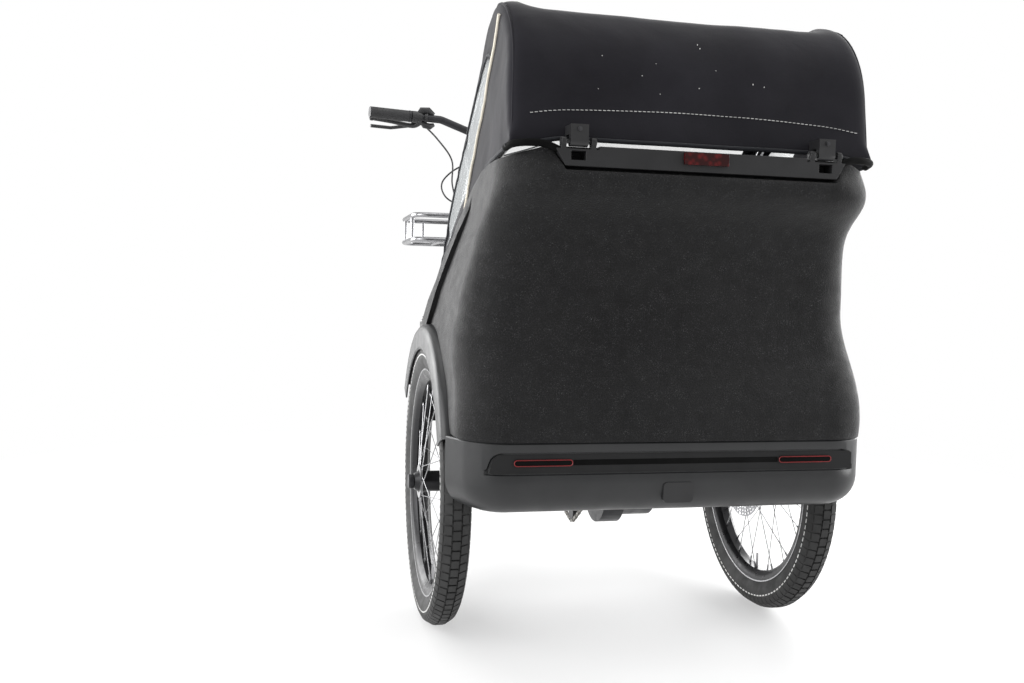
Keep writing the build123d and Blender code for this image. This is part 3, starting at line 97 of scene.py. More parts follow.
class Shader:
    """A node material whose numbers are set on the sockets of one Principled shader."""

    def __init__(self, name, colour, roughness, metallic=0.0, **sockets):
        self.material = bpy.data.materials.new(name)
        self.material.use_nodes = True
        self.tree = self.material.node_tree
        self.nodes = self.tree.nodes
        self.main = self.nodes["Principled BSDF"]
        self.main.inputs["Base Color"].default_value = (*colour, 1.0)
        fill(self.main, Roughness=roughness, Metallic=metallic, **sockets)
        self.place = self.nodes.new("ShaderNodeTexCoord").outputs["Object"]

    def add(self, kind, **values):
        node = self.nodes.new("ShaderNode" + kind)
        fill(node, **values)
        return node

    def link(self, source, target):
        self.tree.links.new(source, target)

    def noise(self, scale, detail=3.0, stretch=(1, 1, 1), distortion=0.0):
        """Noise in the object's own space; scale counts its waves in a metre."""
        node = self.add("TexNoise", Scale=scale, Detail=detail, Roughness=0.55, Distortion=distortion)
        self.link(self.stretched(stretch), node.inputs["Vector"])
        return node.outputs["Fac"]

    def cells(self, scale, feature="F1"):
        """Distances in a pattern of cells; scale counts its cells in a metre."""
        node = self.add("TexVoronoi", Scale=scale)
        node.feature = feature
        self.link(self.place, node.inputs["Vector"])
        return node.outputs["Distance"]

    def stretched(self, stretch):
        if tuple(stretch) == (1, 1, 1):
            return self.place
        node = self.add("Mapping", Scale=stretch)
        self.link(self.place, node.inputs["Vector"])
        return node.outputs["Vector"]

    def ramp(self, source, *stops):
        """Each stop is a place from 0 to 1 and a grey or a colour."""
        node = self.add("ValToRGB")
        spots = node.color_ramp.elements
        while len(spots) < len(stops):
            spots.new(0.5)
        for spot, (place, value) in zip(spots, stops):
            spot.position = place
            spot.color = (*value, 1) if hasattr(value, "__len__") else (value, value, value, 1)
        self.link(source, node.inputs["Fac"])
        return node.outputs["Color"]

    def feed(self, value, socket):
        """Gives a socket a number, a colour or a link."""
        if isinstance(value, (int, float)):
            socket.default_value = value
        elif isinstance(value, tuple):
            socket.default_value = (*value, 1)
        else:
            self.link(value, socket)

    def math(self, operation, first, second):
        node = self.add("Math")
        node.operation = operation
        self.feed(first, node.inputs[0])
        self.feed(second, node.inputs[1])
        return node.outputs["Value"]

    def mix(self, factor, first, second):
        node = self.add("Mix")
        node.data_type = "RGBA"
        for value, index in zip((factor, first, second), MIX_INPUTS):
            self.feed(value, node.inputs[index])
        return node.outputs[MIX_RESULT]

    def colour(self, source):
        self.link(source, self.main.inputs["Base Color"])

    def rough(self, source):
        self.link(source, self.main.inputs["Roughness"])

    def bump(self, source, height):
        """Height in metres; later bumps stack on earlier ones."""
        node = self.add("Bump", Strength=1.0, Distance=height)
        self.link(source, node.inputs["Height"])
        before = self.main.inputs["Normal"].links
        if before:
            self.link(before[0].from_socket, node.inputs["Normal"])
        self.link(node.outputs["Normal"], self.main.inputs["Normal"])


def foam():
    """Moulded bead foam: welded beads with pale flecks between them."""
    shader = Shader("foam", (0.012, 0.012, 0.013), 0.72, Specular_IOR_Level=0.2, Sheen_Weight=0.28,
                    Sheen_Roughness=0.35)
    beads = shader.cells(260.0, "DISTANCE_TO_EDGE")
    flecks = shader.ramp(shader.noise(900.0, 2.0), (0.60, 0.0), (0.70, 1.0))
    seams = shader.ramp(beads, (0.0, 1.0), (0.10, 0.0))
    tint = shader.ramp(shader.noise(5.0, 4.0), (0.3, (0.006, 0.006, 0.0063)), (0.7, (0.010, 0.010, 0.0104)))
    specks = shader.math("MULTIPLY", flecks, shader.ramp(shader.noise(60.0), (0.4, 0.15), (0.7, 0.9)))
    marked = shader.mix(specks, tint, (0.13, 0.13, 0.135))
    shader.colour(shader.mix(shader.math("MULTIPLY", seams, 0.10), marked, (0.08, 0.08, 0.085)))
    shader.rough(shader.ramp(shader.noise(40.0), (0.3, 0.62), (0.7, 0.80)))
    shader.bump(beads, 0.0006)
    shader.bump(shader.noise(300.0), 0.0003)
    return shader.material


def moulded(name, colour, roughness=0.42, grain=700.0, **sockets):
    """Injection moulded plastic with a fine spark-eroded grain and slight rub marks."""
    shader = Shader(name, colour, roughness, **sockets)
    rub = shader.noise(14.0, 5.0)
    pale = tuple(min(1.0, part * 1.35 + 0.004) for part in colour)
    shader.colour(shader.ramp(rub, (0.3, colour), (0.8, pale)))
    shader.rough(shader.ramp(shader.noise(30.0, 4.0), (0.3, roughness - 0.05), (0.75, roughness + 0.10)))
    shader.bump(shader.noise(grain, 2.0), 0.00012)
    return shader.material


def metal(name, colour, roughness, metallic=1.0, brushed=(1, 1, 1), **sockets):
    shader = Shader(name, colour, roughness, metallic, **sockets)
    gloss = shader.noise(60.0, 5.0, brushed)
    shader.rough(shader.ramp(gloss, (0.3, roughness - 0.06), (0.7, roughness + 0.10)))
    dull = tuple(part * 0.8 for part in colour)
    shader.colour(shader.ramp(shader.noise(25.0, 4.0, brushed), (0.3, dull), (0.6, colour)))
    shader.bump(shader.noise(420.0, 3.0, brushed), 0.00004)
    return shader.material


def rubber(name, colour, roughness=0.62):
    shader = Shader(name, colour, roughness)
    dusty = tuple(part * 1.7 + 0.004 for part in colour)
    shader.colour(shader.ramp(shader.noise(18.0, 6.0), (0.35, colour), (0.75, dusty)))
    shader.rough(shader.ramp(shader.noise(50.0), (0.3, roughness - 0.08), (0.7, roughness + 0.12)))
    shader.bump(shader.noise(500.0), 0.0001)
    return shader.material


def woven(name, colour, threads=900.0, roughness=0.78, sheen=0.15, folds=0.0012):
    """Close cloth: a fine grain of threads, with soft folds under it."""
    shader = Shader(name, colour, roughness, Sheen_Weight=sheen, Sheen_Roughness=0.35,
                    Specular_IOR_Level=0.15)
    weft = shader.noise(threads, 2.0, (0.25, 1.0, 1.0))
    warp = shader.noise(threads, 2.0, (1.0, 0.3, 0.3))
    weave = shader.math("ADD", weft, warp)
    pale = tuple(part * 1.5 + 0.003 for part in colour)
    shade = shader.ramp(shader.noise(9.0, 5.0), (0.3, colour), (0.75, pale))
    fleck = shader.ramp(shader.noise(1500.0, 1.0), (0.66, 0.0), (0.80, 1.0))
    bright = tuple(part * 4 + 0.02 for part in colour)
    shader.colour(shader.mix(shader.math("MULTIPLY", fleck, 0.3), shade, bright))
    shader.bump(shader.noise(11.0, 4.0, distortion=0.6), folds)
    shader.bump(weave, 0.0001)
    return shader.material


def film(name, colour, roughness, alpha):
    """Clear flexible film with creases and haze."""
    shader = Shader(name, colour, roughness, IOR=1.45, Alpha=alpha)
    haze = shader.ramp(shader.noise(3.0, 3.0, (1, 1, 0.5)), (0.35, alpha - 0.03), (0.75, alpha + 0.05))
    shader.link(haze, shader.main.inputs["Alpha"])
    shader.bump(shader.noise(5.0, 2.0, (1, 1.6, 0.7), distortion=0.8), 0.0015)
    return shader.material


def lens(name, colour, roughness=0.12):
    """Lamp lens with small corner-cube facets; its colour darkens toward each facet's edge as painted shading of
    the facets.
    """
    shader = Shader(name, colour, roughness, Specular_IOR_Level=0.3)
    facets = shader.cells(120.0)
    # Darker toward each facet's edge: painted shade of the facets
    facet_shade = tuple(part * 0.25 for part in colour)
    shader.colour(shader.ramp(facets, (0.15, colour), (0.6, facet_shade)))
    shader.bump(facets, 0.0006)
    return shader.material


MATERIALS = {
    "foam": foam(),
    "moulded_grey": moulded("moulded_grey", (0.015, 0.0155, 0.0165), 0.36, Specular_IOR_Level=0.45),
    "canopy_fabric": woven("canopy_fabric", (0.009, 0.0085, 0.0115), sheen=0.18),
    "seat_fabric": woven("seat_fabric", (0.030, 0.032, 0.036), 900.0),
    "clear_film": film("clear_film", (0.80, 0.83, 0.84), 0.18, 0.30),
    "red_lens": lens("red_lens", (0.10, 0.004, 0.005)),
    "frame_paint": moulded("frame_paint", (0.016, 0.017, 0.019), 0.32, 300.0, Coat_Weight=0.3,
                           Coat_Roughness=0.2),
    "black_metal": metal("black_metal", (0.035, 0.035, 0.038), 0.38, 0.6),
    "bare_alloy": metal("bare_alloy", (0.36, 0.36, 0.37), 0.24, 1.0, (1, 1, 6)),
    "steel_chain": metal("steel_chain", (0.30, 0.29, 0.27), 0.35),
    "tyre_rubber": rubber("tyre_rubber", (0.012, 0.012, 0.012)),
    "grip_rubber": rubber("grip_rubber", (0.014, 0.014, 0.015), 0.55),
    "lamp_clear": lens("lamp_clear", (0.75, 0.78, 0.80)),
    "piping": rubber("piping", (0.55, 0.51, 0.43), 0.6),
    "binding": woven("binding", (0.014, 0.015, 0.018), 1200.0, 0.6, 0.1, 0.0003),
    "thread": rubber("thread", (0.45, 0.45, 0.44), 0.7),
    "reflective": rubber("reflective", (0.62, 0.62, 0.61), 0.4),
    "rim": metal("rim", (0.020, 0.020, 0.022), 0.30, 0.5),
    "spoke": metal("spoke", (0.42, 0.42, 0.43), 0.25),
    "rotor": metal("rotor", (0.50, 0.50, 0.52), 0.32),
    "lamp_rim": rubber("lamp_rim", (0.16, 0.008, 0.009), 0.35),
    "lamp_face": moulded("lamp_face", (0.0015, 0.0015, 0.0015), 0.7, Specular_IOR_Level=0.08),
    "screen_film": film("screen_film", (0.9, 0.92, 0.92), 0.12, 0.15),
    "pod": moulded("pod", (0.012, 0.012, 0.013), 0.40),
    "rail": moulded("rail", (0.014, 0.014, 0.015), 0.5, Specular_IOR_Level=0.35),
    "bolt": metal("bolt", (0.08, 0.08, 0.085), 0.35, 0.8),
    "band": moulded("band", (0.006, 0.006, 0.0065), 0.5, Specular_IOR_Level=0.3),
}

# Nodes that look other than their slot's finish
OWN_LOOKS = {"bar_controls": "pod", "canopy_hinges": "pod", "rear_rail": "rail", "tail_lights": "lamp_face",
             "port_cover": "pod"}


def paint_nodes():
    """Each carried-over node gets the material of its slot, or its own one."""
    for row in frame["record"]["subparts"]:
        node = NODES[row["node"]]
        node.data.materials.clear()
        node.data.materials.append(MATERIALS[OWN_LOOKS.get(row["node"], row["material_slot"])])


# Stage
FLOOR_SIZE = 14.0
FLOOR_GREY = 0.90
WHITE_LEAST = 0.45
WHITE_FROM = 0.7
WHITE_TO = 2.0
WORLD_LEVEL = 0.6


def make_stage():
    """A pale floor that turns plain white away from the vehicle, in an even white room."""
    mesh = bmesh.new()
    bmesh.ops.create_grid(mesh, x_segments=8, y_segments=8, size=FLOOR_SIZE)
    data = bpy.data.meshes.new("floor")
    mesh.to_mesh(data)
    floor = bpy.data.objects.new("floor", data)
    SCENE.collection.objects.link(floor)
    shader = Shader("floor", (FLOOR_GREY,) * 3, 0.6)
    shader.colour(shader.ramp(shader.noise(1.5), (0.3, FLOOR_GREY - 0.01), (0.7, FLOOR_GREY + 0.01)))
    reach = shader.add("VectorMath")
    reach.operation = "LENGTH"
    shader.link(shader.place, reach.inputs[0])
    far = shader.add("MapRange", From_Min=WHITE_FROM, From_Max=WHITE_TO, To_Min=WHITE_LEAST)
    shader.link(reach.outputs["Value"], far.inputs["Value"])
    plain = shader.add("Emission")
    blend = shader.add("MixShader")
    shader.link(far.outputs["Result"], blend.inputs[0])
    shader.link(shader.main.outputs["BSDF"], blend.inputs[1])
    shader.link(plain.outputs["Emission"], blend.inputs[2])
    shader.link(blend.outputs["Shader"], shader.nodes["Material Output"].inputs["Surface"])
    data.materials.append(shader.material)

    world = bpy.data.worlds.new("studio")
    world.use_nodes = True
    SCENE.world = world
    tree = world.node_tree
    back = tree.nodes["Background"]
    path = tree.nodes.new("ShaderNodeLightPath")
    either = tree.nodes.new("ShaderNodeMath")
    either.operation = "MAXIMUM"
    tree.links.new(path.outputs["Is Camera Ray"], either.inputs[0])
    tree.links.new(path.outputs["Is Transmission Ray"], either.inputs[1])
    level = tree.nodes.new("ShaderNodeMapRange")
    level.inputs["To Min"].default_value = WORLD_LEVEL
    tree.links.new(either.outputs["Value"], level.inputs["Value"])
    back.inputs["Color"].default_value = (1, 1, 1, 1)
    tree.links.new(level.outputs["Result"], back.inputs["Strength"])


# Lamps: name, place, point looked at, size, power
LAMPS = [
    ("left", (-3.0, -1.3, 1.5), (0.0, -0.4, 0.6), 2.4, 75.0),
    ("right", (3.0, -1.1, 1.4), (0.0, -0.4, 0.6), 2.4, 85.0),
    ("front_left", (-2.4, 1.9, 1.3), (0.0, -0.7, 0.6), 2.4, 100.0),
    ("front_right", (2.6, 1.7, 1.3), (0.0, -0.7, 0.6), 2.4, 120.0),
    ("top", (0.0, -0.2, 3.6), (0.0, 0.0, 0.4), 3.0, 40.0),
]


def make_lamps():
    for name, place, target, size, power in LAMPS:
        data = bpy.data.lights.new(name, "AREA")
        data.shape = "SQUARE"
        data.size = size
        data.energy = power
        lamp = bpy.data.objects.new(name, data)
        lamp.visible_camera = False
        aim = (Vector(target) - Vector(place)).to_track_quat("-Z", "Y")
        lamp.matrix_world = Matrix.Translation(place) @ aim.to_matrix().to_4x4()
        SCENE.collection.objects.link(lamp)


# Sizes in millimetres; a place is its side offset, its distance ahead of the rear axle and its height
REAR_AXLE_Y = -628.0
MM = 0.001
WHEEL_X = 330.0
WHEELBASE = 1440.0
AXLE_Z = 260.0
SIDES = (-1, 1)
SHARP_ANGLE = 38.0
WELD_REACH = 1e-5


def at(x, ahead, z):
    return Vector((x * MM, (REAR_AXLE_Y + ahead) * MM, z * MM))


def places(points):
    return [at(*point) for point in points]


def polar(x, r, angle):
    """A point about the X axis, from millimetres to metres."""
    return Vector((x, r * cos(angle), r * sin(angle))) * MM


def swept(outline, angle):
    """A closed outline (x, radius) in millimetres, turned about the X axis."""
    return [polar(x, r, angle) for x, r in outline]


def smooth_step(value, low, high):
    share = min(1.0, max(0.0, (value - low) / (high - low)))
    return share * share * (3 - 2 * share)


class Batch:
    """Many small forms gathered into one mesh, in metres."""

    def __init__(self):
        self.points = []
        self.faces = []

    def add(self, points, faces):
        first = len(self.points)
        self.points += [tuple(point) for point in points]
        self.faces += [tuple(first + index for index in face) for face in faces]

    def box(self, centre, size, turn=None, bevel=0.0):
        """A block with softened edges; turn is a 3x3 matrix."""
        form = bmesh.new()
        bmesh.ops.create_cube(form, size=1.0)
        bmesh.ops.scale(form, vec=size, verts=form.verts)
        if bevel:
            bmesh.ops.bevel(form, geom=form.edges[:], offset=bevel, segments=2, affect="EDGES",
                            profile=0.5)
        if turn is not None:
            bmesh.ops.transform(form, matrix=turn.to_4x4(), verts=form.verts)
        form.verts.index_update()
        self.add([vertex.co + Vector(centre) for vertex in form.verts],
                 [[vertex.index for vertex in face.verts] for face in form.faces])
        form.free()

    def tube(self, points, radius, sides=10, closed=False):
        """A round bar through points, its sections kept from twisting."""
        points = [Vector(point) for point in points]
        count = len(points)
        up = None
        rings = []
        for index, point in enumerate(points):
            before = points[index - 1] if index or closed else point
            after = points[(index + 1) % count] if index < count - 1 or closed else point
            run = (after - before).normalized()
            if up is None:
                up = run.orthogonal().normalized()
            up = (up - run * up.dot(run)).normalized()
            across = run.cross(up)
            size = radius(index / (count - 1)) if callable(radius) else radius
            turn = [2 * pi * side / sides for side in range(sides)]
            rings.append([point + (up * cos(angle) + across * sin(angle)) * size for angle in turn])
        self.rings(rings, closed)

    def rings(self, rings, closed=False):
        """Joins rings of equal count; an open row gets end faces."""
        sides = len(rings[0])
        count = len(rings)
        faces = []
        for index in range(count if closed else count - 1):
            low = index * sides
            high = (index + 1) % count * sides
            for side in range(sides):
                other = (side + 1) % sides
                faces.append((low + side, low + other, high + other, high + side))
        if not closed:
            faces.append(tuple(reversed(range(sides))))
            faces.append(tuple(range((count - 1) * sides, count * sides)))
        self.add([point for ring in rings for point in ring], faces)

    def turned(self, outline, centre=(0, 0, 0), steps=96, start=0.0, end=360.0):
        """A closed outline (x, radius) in millimetres swept about the X axis through centre."""
        whole = abs(end - start - 360.0) < 0.01
        rings = []
        for step in range(steps if whole else steps + 1):
            angle = radians(start + (end - start) * step / steps)
            rings.append([Vector(centre) + point for point in swept(outline, angle)])
        self.rings(rings, whole)

    def sector(self, outline, start, run, steps=2):
        """A short block of the same kind, from an angle in radians through a run."""
        self.rings([swept(outline, start + run * step / steps) for step in range(steps + 1)])

    def mesh(self, name):
        data = bpy.data.meshes.new(name)
        data.from_pydata(self.points, [], self.faces)
        return data

    def piece(self, name, body, slot, material=None, replaced=(), sharp=SHARP_ANGLE):
        return finish_mesh(self.mesh(name), name, body, slot, material, replaced, sharp)


def edit_mesh(data, action):
    """Runs an action on a mesh in its editable form."""
    form = bmesh.new()
    form.from_mesh(data)
    action(form)
    form.to_mesh(data)
    form.free()


def smooth_faces(data):
    data.polygons.foreach_set("use_smooth", [True] * len(data.polygons))


def finish_mesh(data, name, body, slot, material=None, replaced=(), sharp=SHARP_ANGLE):
    """Makes the object of a mesh, with outward faces, a material (the given one, else its slot's) and its body; a
    blend has none.
    """
    edit_mesh(data, lambda form: bmesh.ops.recalc_face_normals(form, faces=form.faces))
    smooth_faces(data)
    data.set_sharp_from_angle(angle=radians(sharp))
    data.materials.append(material or MATERIALS[slot])
    piece = bpy.data.objects.new(name, data)
    SCENE.collection.objects.link(piece)
    if body:
        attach(piece, body)
    if replaced:
        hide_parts(*replaced)
    return piece


def apply_modifiers(piece):
    """Writes the result of the modifiers into the mesh."""
    bpy.context.view_layer.update()
    seen = piece.evaluated_get(bpy.context.evaluated_depsgraph_get())
    data = bpy.data.meshes.new_from_object(seen)
    piece.modifiers.clear()
    piece.data = data


def smooth_line(points, steps=8):
    """A smooth run through points."""
    ends = [points[0] * 2 - points[1], *points, points[-1] * 2 - points[-2]]
    line = []
    for p0, p1, p2, p3 in zip(ends, ends[1:], ends[2:], ends[3:]):
        for step in range(steps):
            t = step / steps
            line.append(((p1 * 2) + (p2 - p0) * t + (p0 * 2 - p1 * 5 + p2 * 4 - p3) * t * t
                         + (p1 * 3 - p0 - p2 * 3 + p3) * t * t * t) / 2)
    line.append(points[-1])
    return line


def arc(first, middle, last, steps):
    """Points of the circle through three points of a side view, without the last one."""
    (ax, ay), (bx, by), (cx, cy) = first, middle, last
    d = 2 * (ax * (by - cy) + bx * (cy - ay) + cx * (ay - by))
    a, b, c = ax * ax + ay * ay, bx * bx + by * by, cx * cx + cy * cy
    centre = Vector(((a * (by - cy) + b * (cy - ay) + c * (ay - by)) / d,
                     (a * (cx - bx) + b * (ax - cx) + c * (bx - ax)) / d))
    start = Vector(first) - centre
    turn = start.angle_signed(Vector(last) - centre)
    points = []
    for step in range(steps):
        angle = -turn * step / steps
        points.append((centre.x + start.x * cos(angle) - start.y * sin(angle),
                       centre.y + start.x * sin(angle) + start.y * cos(angle)))
    return points


class Path:
    """A line in side view (ahead, height) that is read by its length."""

    def __init__(self, points):
        self.points = [Vector(point) for point in points]
        self.reach = [0.0]
        for a, b in zip(self.points, self.points[1:]):
            self.reach.append(self.reach[-1] + (b - a).length)
        self.length = self.reach[-1]

    def at(self, distance):
        distance = min(max(distance, 0.0), self.length)
        for index, reach in enumerate(self.reach[:-1]):
            if distance <= self.reach[index + 1]:
                share = (distance - reach) / (self.reach[index + 1] - reach)
                return self.points[index].lerp(self.points[index + 1], share)
        return self.points[-1]

    def near(self, ahead, z):
        """The distance along the line of its nearest corner point to a place."""
        gaps = [(point - Vector((ahead, z))).length for point in self.points]
        return self.reach[gaps.index(min(gaps))]


# Canopy cloth: rows follow its side view, and each row runs from hem to hem across the roof
CANOPY_HALF = 295.0
CANOPY_TOP_IN = 4.0
CANOPY_RIM_TOP = 1028.0
CANOPY_HEM_Z = 838.0
CANOPY_KNEE = (-402.0, 931.0)
CANOPY_TOP = (-270.0, 1073.0)
CANOPY_BROW = (-190.0, 1018.0)
CANOPY_NOSE = (262.0, 631.0)
PIPING_TOP = (-322.0, 1048.0)
PIPING_FOOT = (-62.0, 752.0)
CANOPY_SAG = 25.0
SAG_EDGE = (215.0, 274.0)
ROW_STEP = 9.0
SIDE_STEPS = 16
CORNER_STEPS = 8
ROOF_STEPS = 58
CORNER_REACH = 30.0
WINDOW_SHARE = (0.22, 0.90)
WINDOW_FOOT = 100.0
SCREEN_HALF = 252.0
SCREEN_AHEAD = (-165.0, 235.0)

PROFILE = Path([(-412.0, CANOPY_HEM_Z), CANOPY_KNEE,
                *arc(CANOPY_KNEE, (-362.0, 1026.0), CANOPY_TOP, 14)[1:],
                *arc(CANOPY_TOP, (-222.0, 1053.0), CANOPY_BROW, 8), CANOPY_BROW, CANOPY_NOSE,
                (340.0, 602.0), (428.0, 555.0), (470.0, 555.0)])
HEM_REAR = Path([(-404.0, 828.0), (-330.0, 818.0), (-245.0, 813.0), PIPING_FOOT])
HEM_FRONT = Path([PIPING_FOOT, (128.0, 692.0), (250.0, 626.0)])
PIPING_ROW = PROFILE.near(*PIPING_TOP)
TOP_ROW = PROFILE.near(*CANOPY_TOP)
BROW_ROW = PROFILE.near(*CANOPY_BROW)
NOSE_ROW = PROFILE.near(*CANOPY_NOSE)
FLAP = 9.0
HEM_DROOP = 11.0


def hem_point(row):
    """The side hem's point that belongs to a row of the cloth."""
    if row <= PIPING_ROW:
        return HEM_REAR.at(HEM_REAR.length * row / PIPING_ROW)
    if row < NOSE_ROW:
        return HEM_FRONT.at(HEM_FRONT.length * (row - PIPING_ROW) / (NOSE_ROW - PIPING_ROW))
    edge = PROFILE.at(row)
    return Vector((edge.x - 2.0, edge.y - FLAP))


def side_x(z):
    return CANOPY_HALF - CANOPY_TOP_IN * smooth_step(z, CANOPY_HEM_Z, CANOPY_RIM_TOP)


def roof_sag(row, x):
    """How far the roof hangs in between its two humps, and the rear panel between its corners."""
    on_top = smooth_step(row, TOP_ROW - 80.0, TOP_ROW + 5.0)
    on_top *= 1 - 0.8 * smooth_step(row, TOP_ROW, BROW_ROW + 60)
    between = 1 - smooth_step(abs(x), *SAG_EDGE)
    slack = 5.0 * (1 - (x / CANOPY_HALF) ** 2) * (1 - smooth_step(row, TOP_ROW - 120.0, TOP_ROW))
    return CANOPY_SAG * on_top * between + slack * smooth_step(row, 0.0, 60.0)


def ripple(place, size, amount, stretch=(1, 1, 1)):
    spot = Vector([part * size * pull for part, pull in zip(place, stretch)])
    return noise.noise(spot) * amount


def roof_point(row, x):
    """A point of the roof strip, with its sag, in millimetres."""
    point = PROFILE.at(row)
    run = (PROFILE.at(row + 4.0) - PROFILE.at(row - 4.0)).normalized()
    inward = Vector((run.y, -run.x))
    depth = roof_sag(row, x)
    fold = ripple((x, row, 3.0), 0.012, 1.6, (1.0, 0.45, 1.0)) + ripple((x, row, 9.0), 0.035, 0.5)
    placed = point + inward * (depth + max(fold, -0.8))
    droop = HEM_DROOP * smooth_step(abs(x), 205.0, 285.0) * (1 - smooth_step(row, 0.0, 70.0))
    return Vector((x, placed.x, placed.y - droop))


def side_point(row, share, flip):
    """A point of a side panel, from the edge of the roof down to the hem."""
    edge = PROFILE.at(row)
    foot = hem_point(row)
    place = edge.lerp(foot, share)
    film = smooth_step(row, PIPING_ROW, PIPING_ROW + 30) * smooth_step(share, 0.1, 0.3)
    film *= 1 - smooth_step(share, 0.8, 0.95)
    bulge = ripple((place.x, place.y, flip * 7.0), 0.014, 3.0 + 4.0 * film, (1.0, 0.6, 1.0))
    bulge += ripple((place.x, place.y, flip * 2.0), 0.045, 0.8 + 1.6 * film)
    inward = 3.0 * sin(pi * share) + max(bulge, -1.0)
    return Vector((flip * (side_x(place.y) - inward), place.x, place.y))


def canopy_row(row):
    """The points of one row, and how they lie: (place, part of the cloth, share or side offset)."""
    edge = PROFILE.at(row)
    length = (edge - hem_point(row)).length
    reach = min(CORNER_REACH, 0.45 * length)
    near = reach / length
    roof_half = side_x(edge.y) - reach
    points = []
    for flip in SIDES:
        half = []
        for step in range(SIDE_STEPS):
            share = 1 - (1 - near) * step / SIDE_STEPS
            half.append((side_point(row, share, flip), "side", share))
        first = side_point(row, near, flip)
        corner = Vector((flip * side_x(edge.y), edge.x, edge.y))
        last = roof_point(row, flip * roof_half)
        for step in range(CORNER_STEPS):
            share = step / CORNER_STEPS
            placed = first.lerp(corner, share).lerp(corner.lerp(last, share), share)
            half.append((placed, "side", near * (1 - share)))
        if flip < 0:
            points += half
            for step in range(ROOF_STEPS + 1):
                x = -roof_half + 2 * roof_half * step / ROOF_STEPS
                points.append((roof_point(row, x), "roof", x))
        else:
            points += reversed(half)
    return points


def canopy_part(row, first, second):
    """Which of the sheet's parts a face belongs to."""
    ahead = PROFILE.at(row).x
    if first[1] == second[1] == "roof":
        inside = max(abs(first[2]), abs(second[2])) < SCREEN_HALF and row > BROW_ROW
        return "screen" if inside and SCREEN_AHEAD[0] < ahead < SCREEN_AHEAD[1] else "cover"
    low, high = sorted((first[2], second[2]))
    clear = PIPING_ROW + ROW_STEP < row and ahead < WINDOW_FOOT
    return "window" if clear and WINDOW_SHARE[0] < low and high < WINDOW_SHARE[1] else "cover"


# The sheet's pieces: part, name, slot, node replaced, thickness in millimetres, flat size in metres
CANOPY_PIECES = [("cover", "canopy_cloth", "canopy_fabric", "canopy_cover", 1.6, (1.12, 1.40)),
                 ("left", "side_film_left", "clear_film", "canopy_windows", 0.6, (0.20, 0.46)),
                 ("right", "side_film_right", "clear_film", "canopy_windows", 0.6, (0.20, 0.46)),
                 ("screen", "screen_film", "clear_film", "windscreen", 0.6, (0.52, 0.56))]


def drop_loose(form):
    loose = [vertex for vertex in form.verts if not vertex.link_faces]
    bmesh.ops.delete(form, geom=loose, context="VERTS")


def make_canopy():
    count = round(PROFILE.length / ROW_STEP)
    rows = [canopy_row(PROFILE.length * index / count) for index in range(count + 1)]
    parts = {row[0]: [] for row in CANOPY_PIECES}
    width = len(rows[0])
    for index in range(count):
        middle = PROFILE.length * (index + 0.5) / count
        for side in range(width - 1):
            part = canopy_part(middle, rows[index][side], rows[index][side + 1])
            if part == "window":
                part = "left" if side < width / 2 else "right"
            low = index * width + side
            parts[part].append((low, low + 1, low + 1 + width, low + width))
    points = [at(*place) for row in rows for place, _, _ in row]
    for part, name, slot, node, thick, flat in CANOPY_PIECES:
        data = bpy.data.meshes.new(name)
        data.from_pydata(points, [], parts[part])
        edit_mesh(data, drop_loose)
        look = MATERIALS["screen_film"] if part == "screen" else None
        piece = finish_mesh(data, name, "canopy", slot, look, (node,), 60.0)
        shell = piece.modifiers.new("thickness", "SOLIDIFY")
        shell.thickness = thick * MM
        shell.offset = -1.0


# Trim of the canopy: radii, offsets and places in millimetres
TRIM_STEP = 6.0
TRIM_SIDES = 8
WELT_R = 2.2
WELT_IN = 8.0
WELT_REAR = Vector((8.0, -3.0))
WELT_TOP = Vector((0.0, -7.0))
PIPING_R = 2.6
PIPING_OUT = 1.6
HEM_R = 3.4
HEM_SHARE = 0.985
WINDOW_EDGE_R = 2.6
SCREEN_EDGE_R = 2.8
SCREEN_EDGE = 251.0
SCREEN_BORDER = 32.0
STITCH_Z = 891.0
STITCH_R = 0.55
STITCH_END = 262
STITCH_LENGTH = 4.4
LINT_COUNT = 11
LINT_REACH = 240


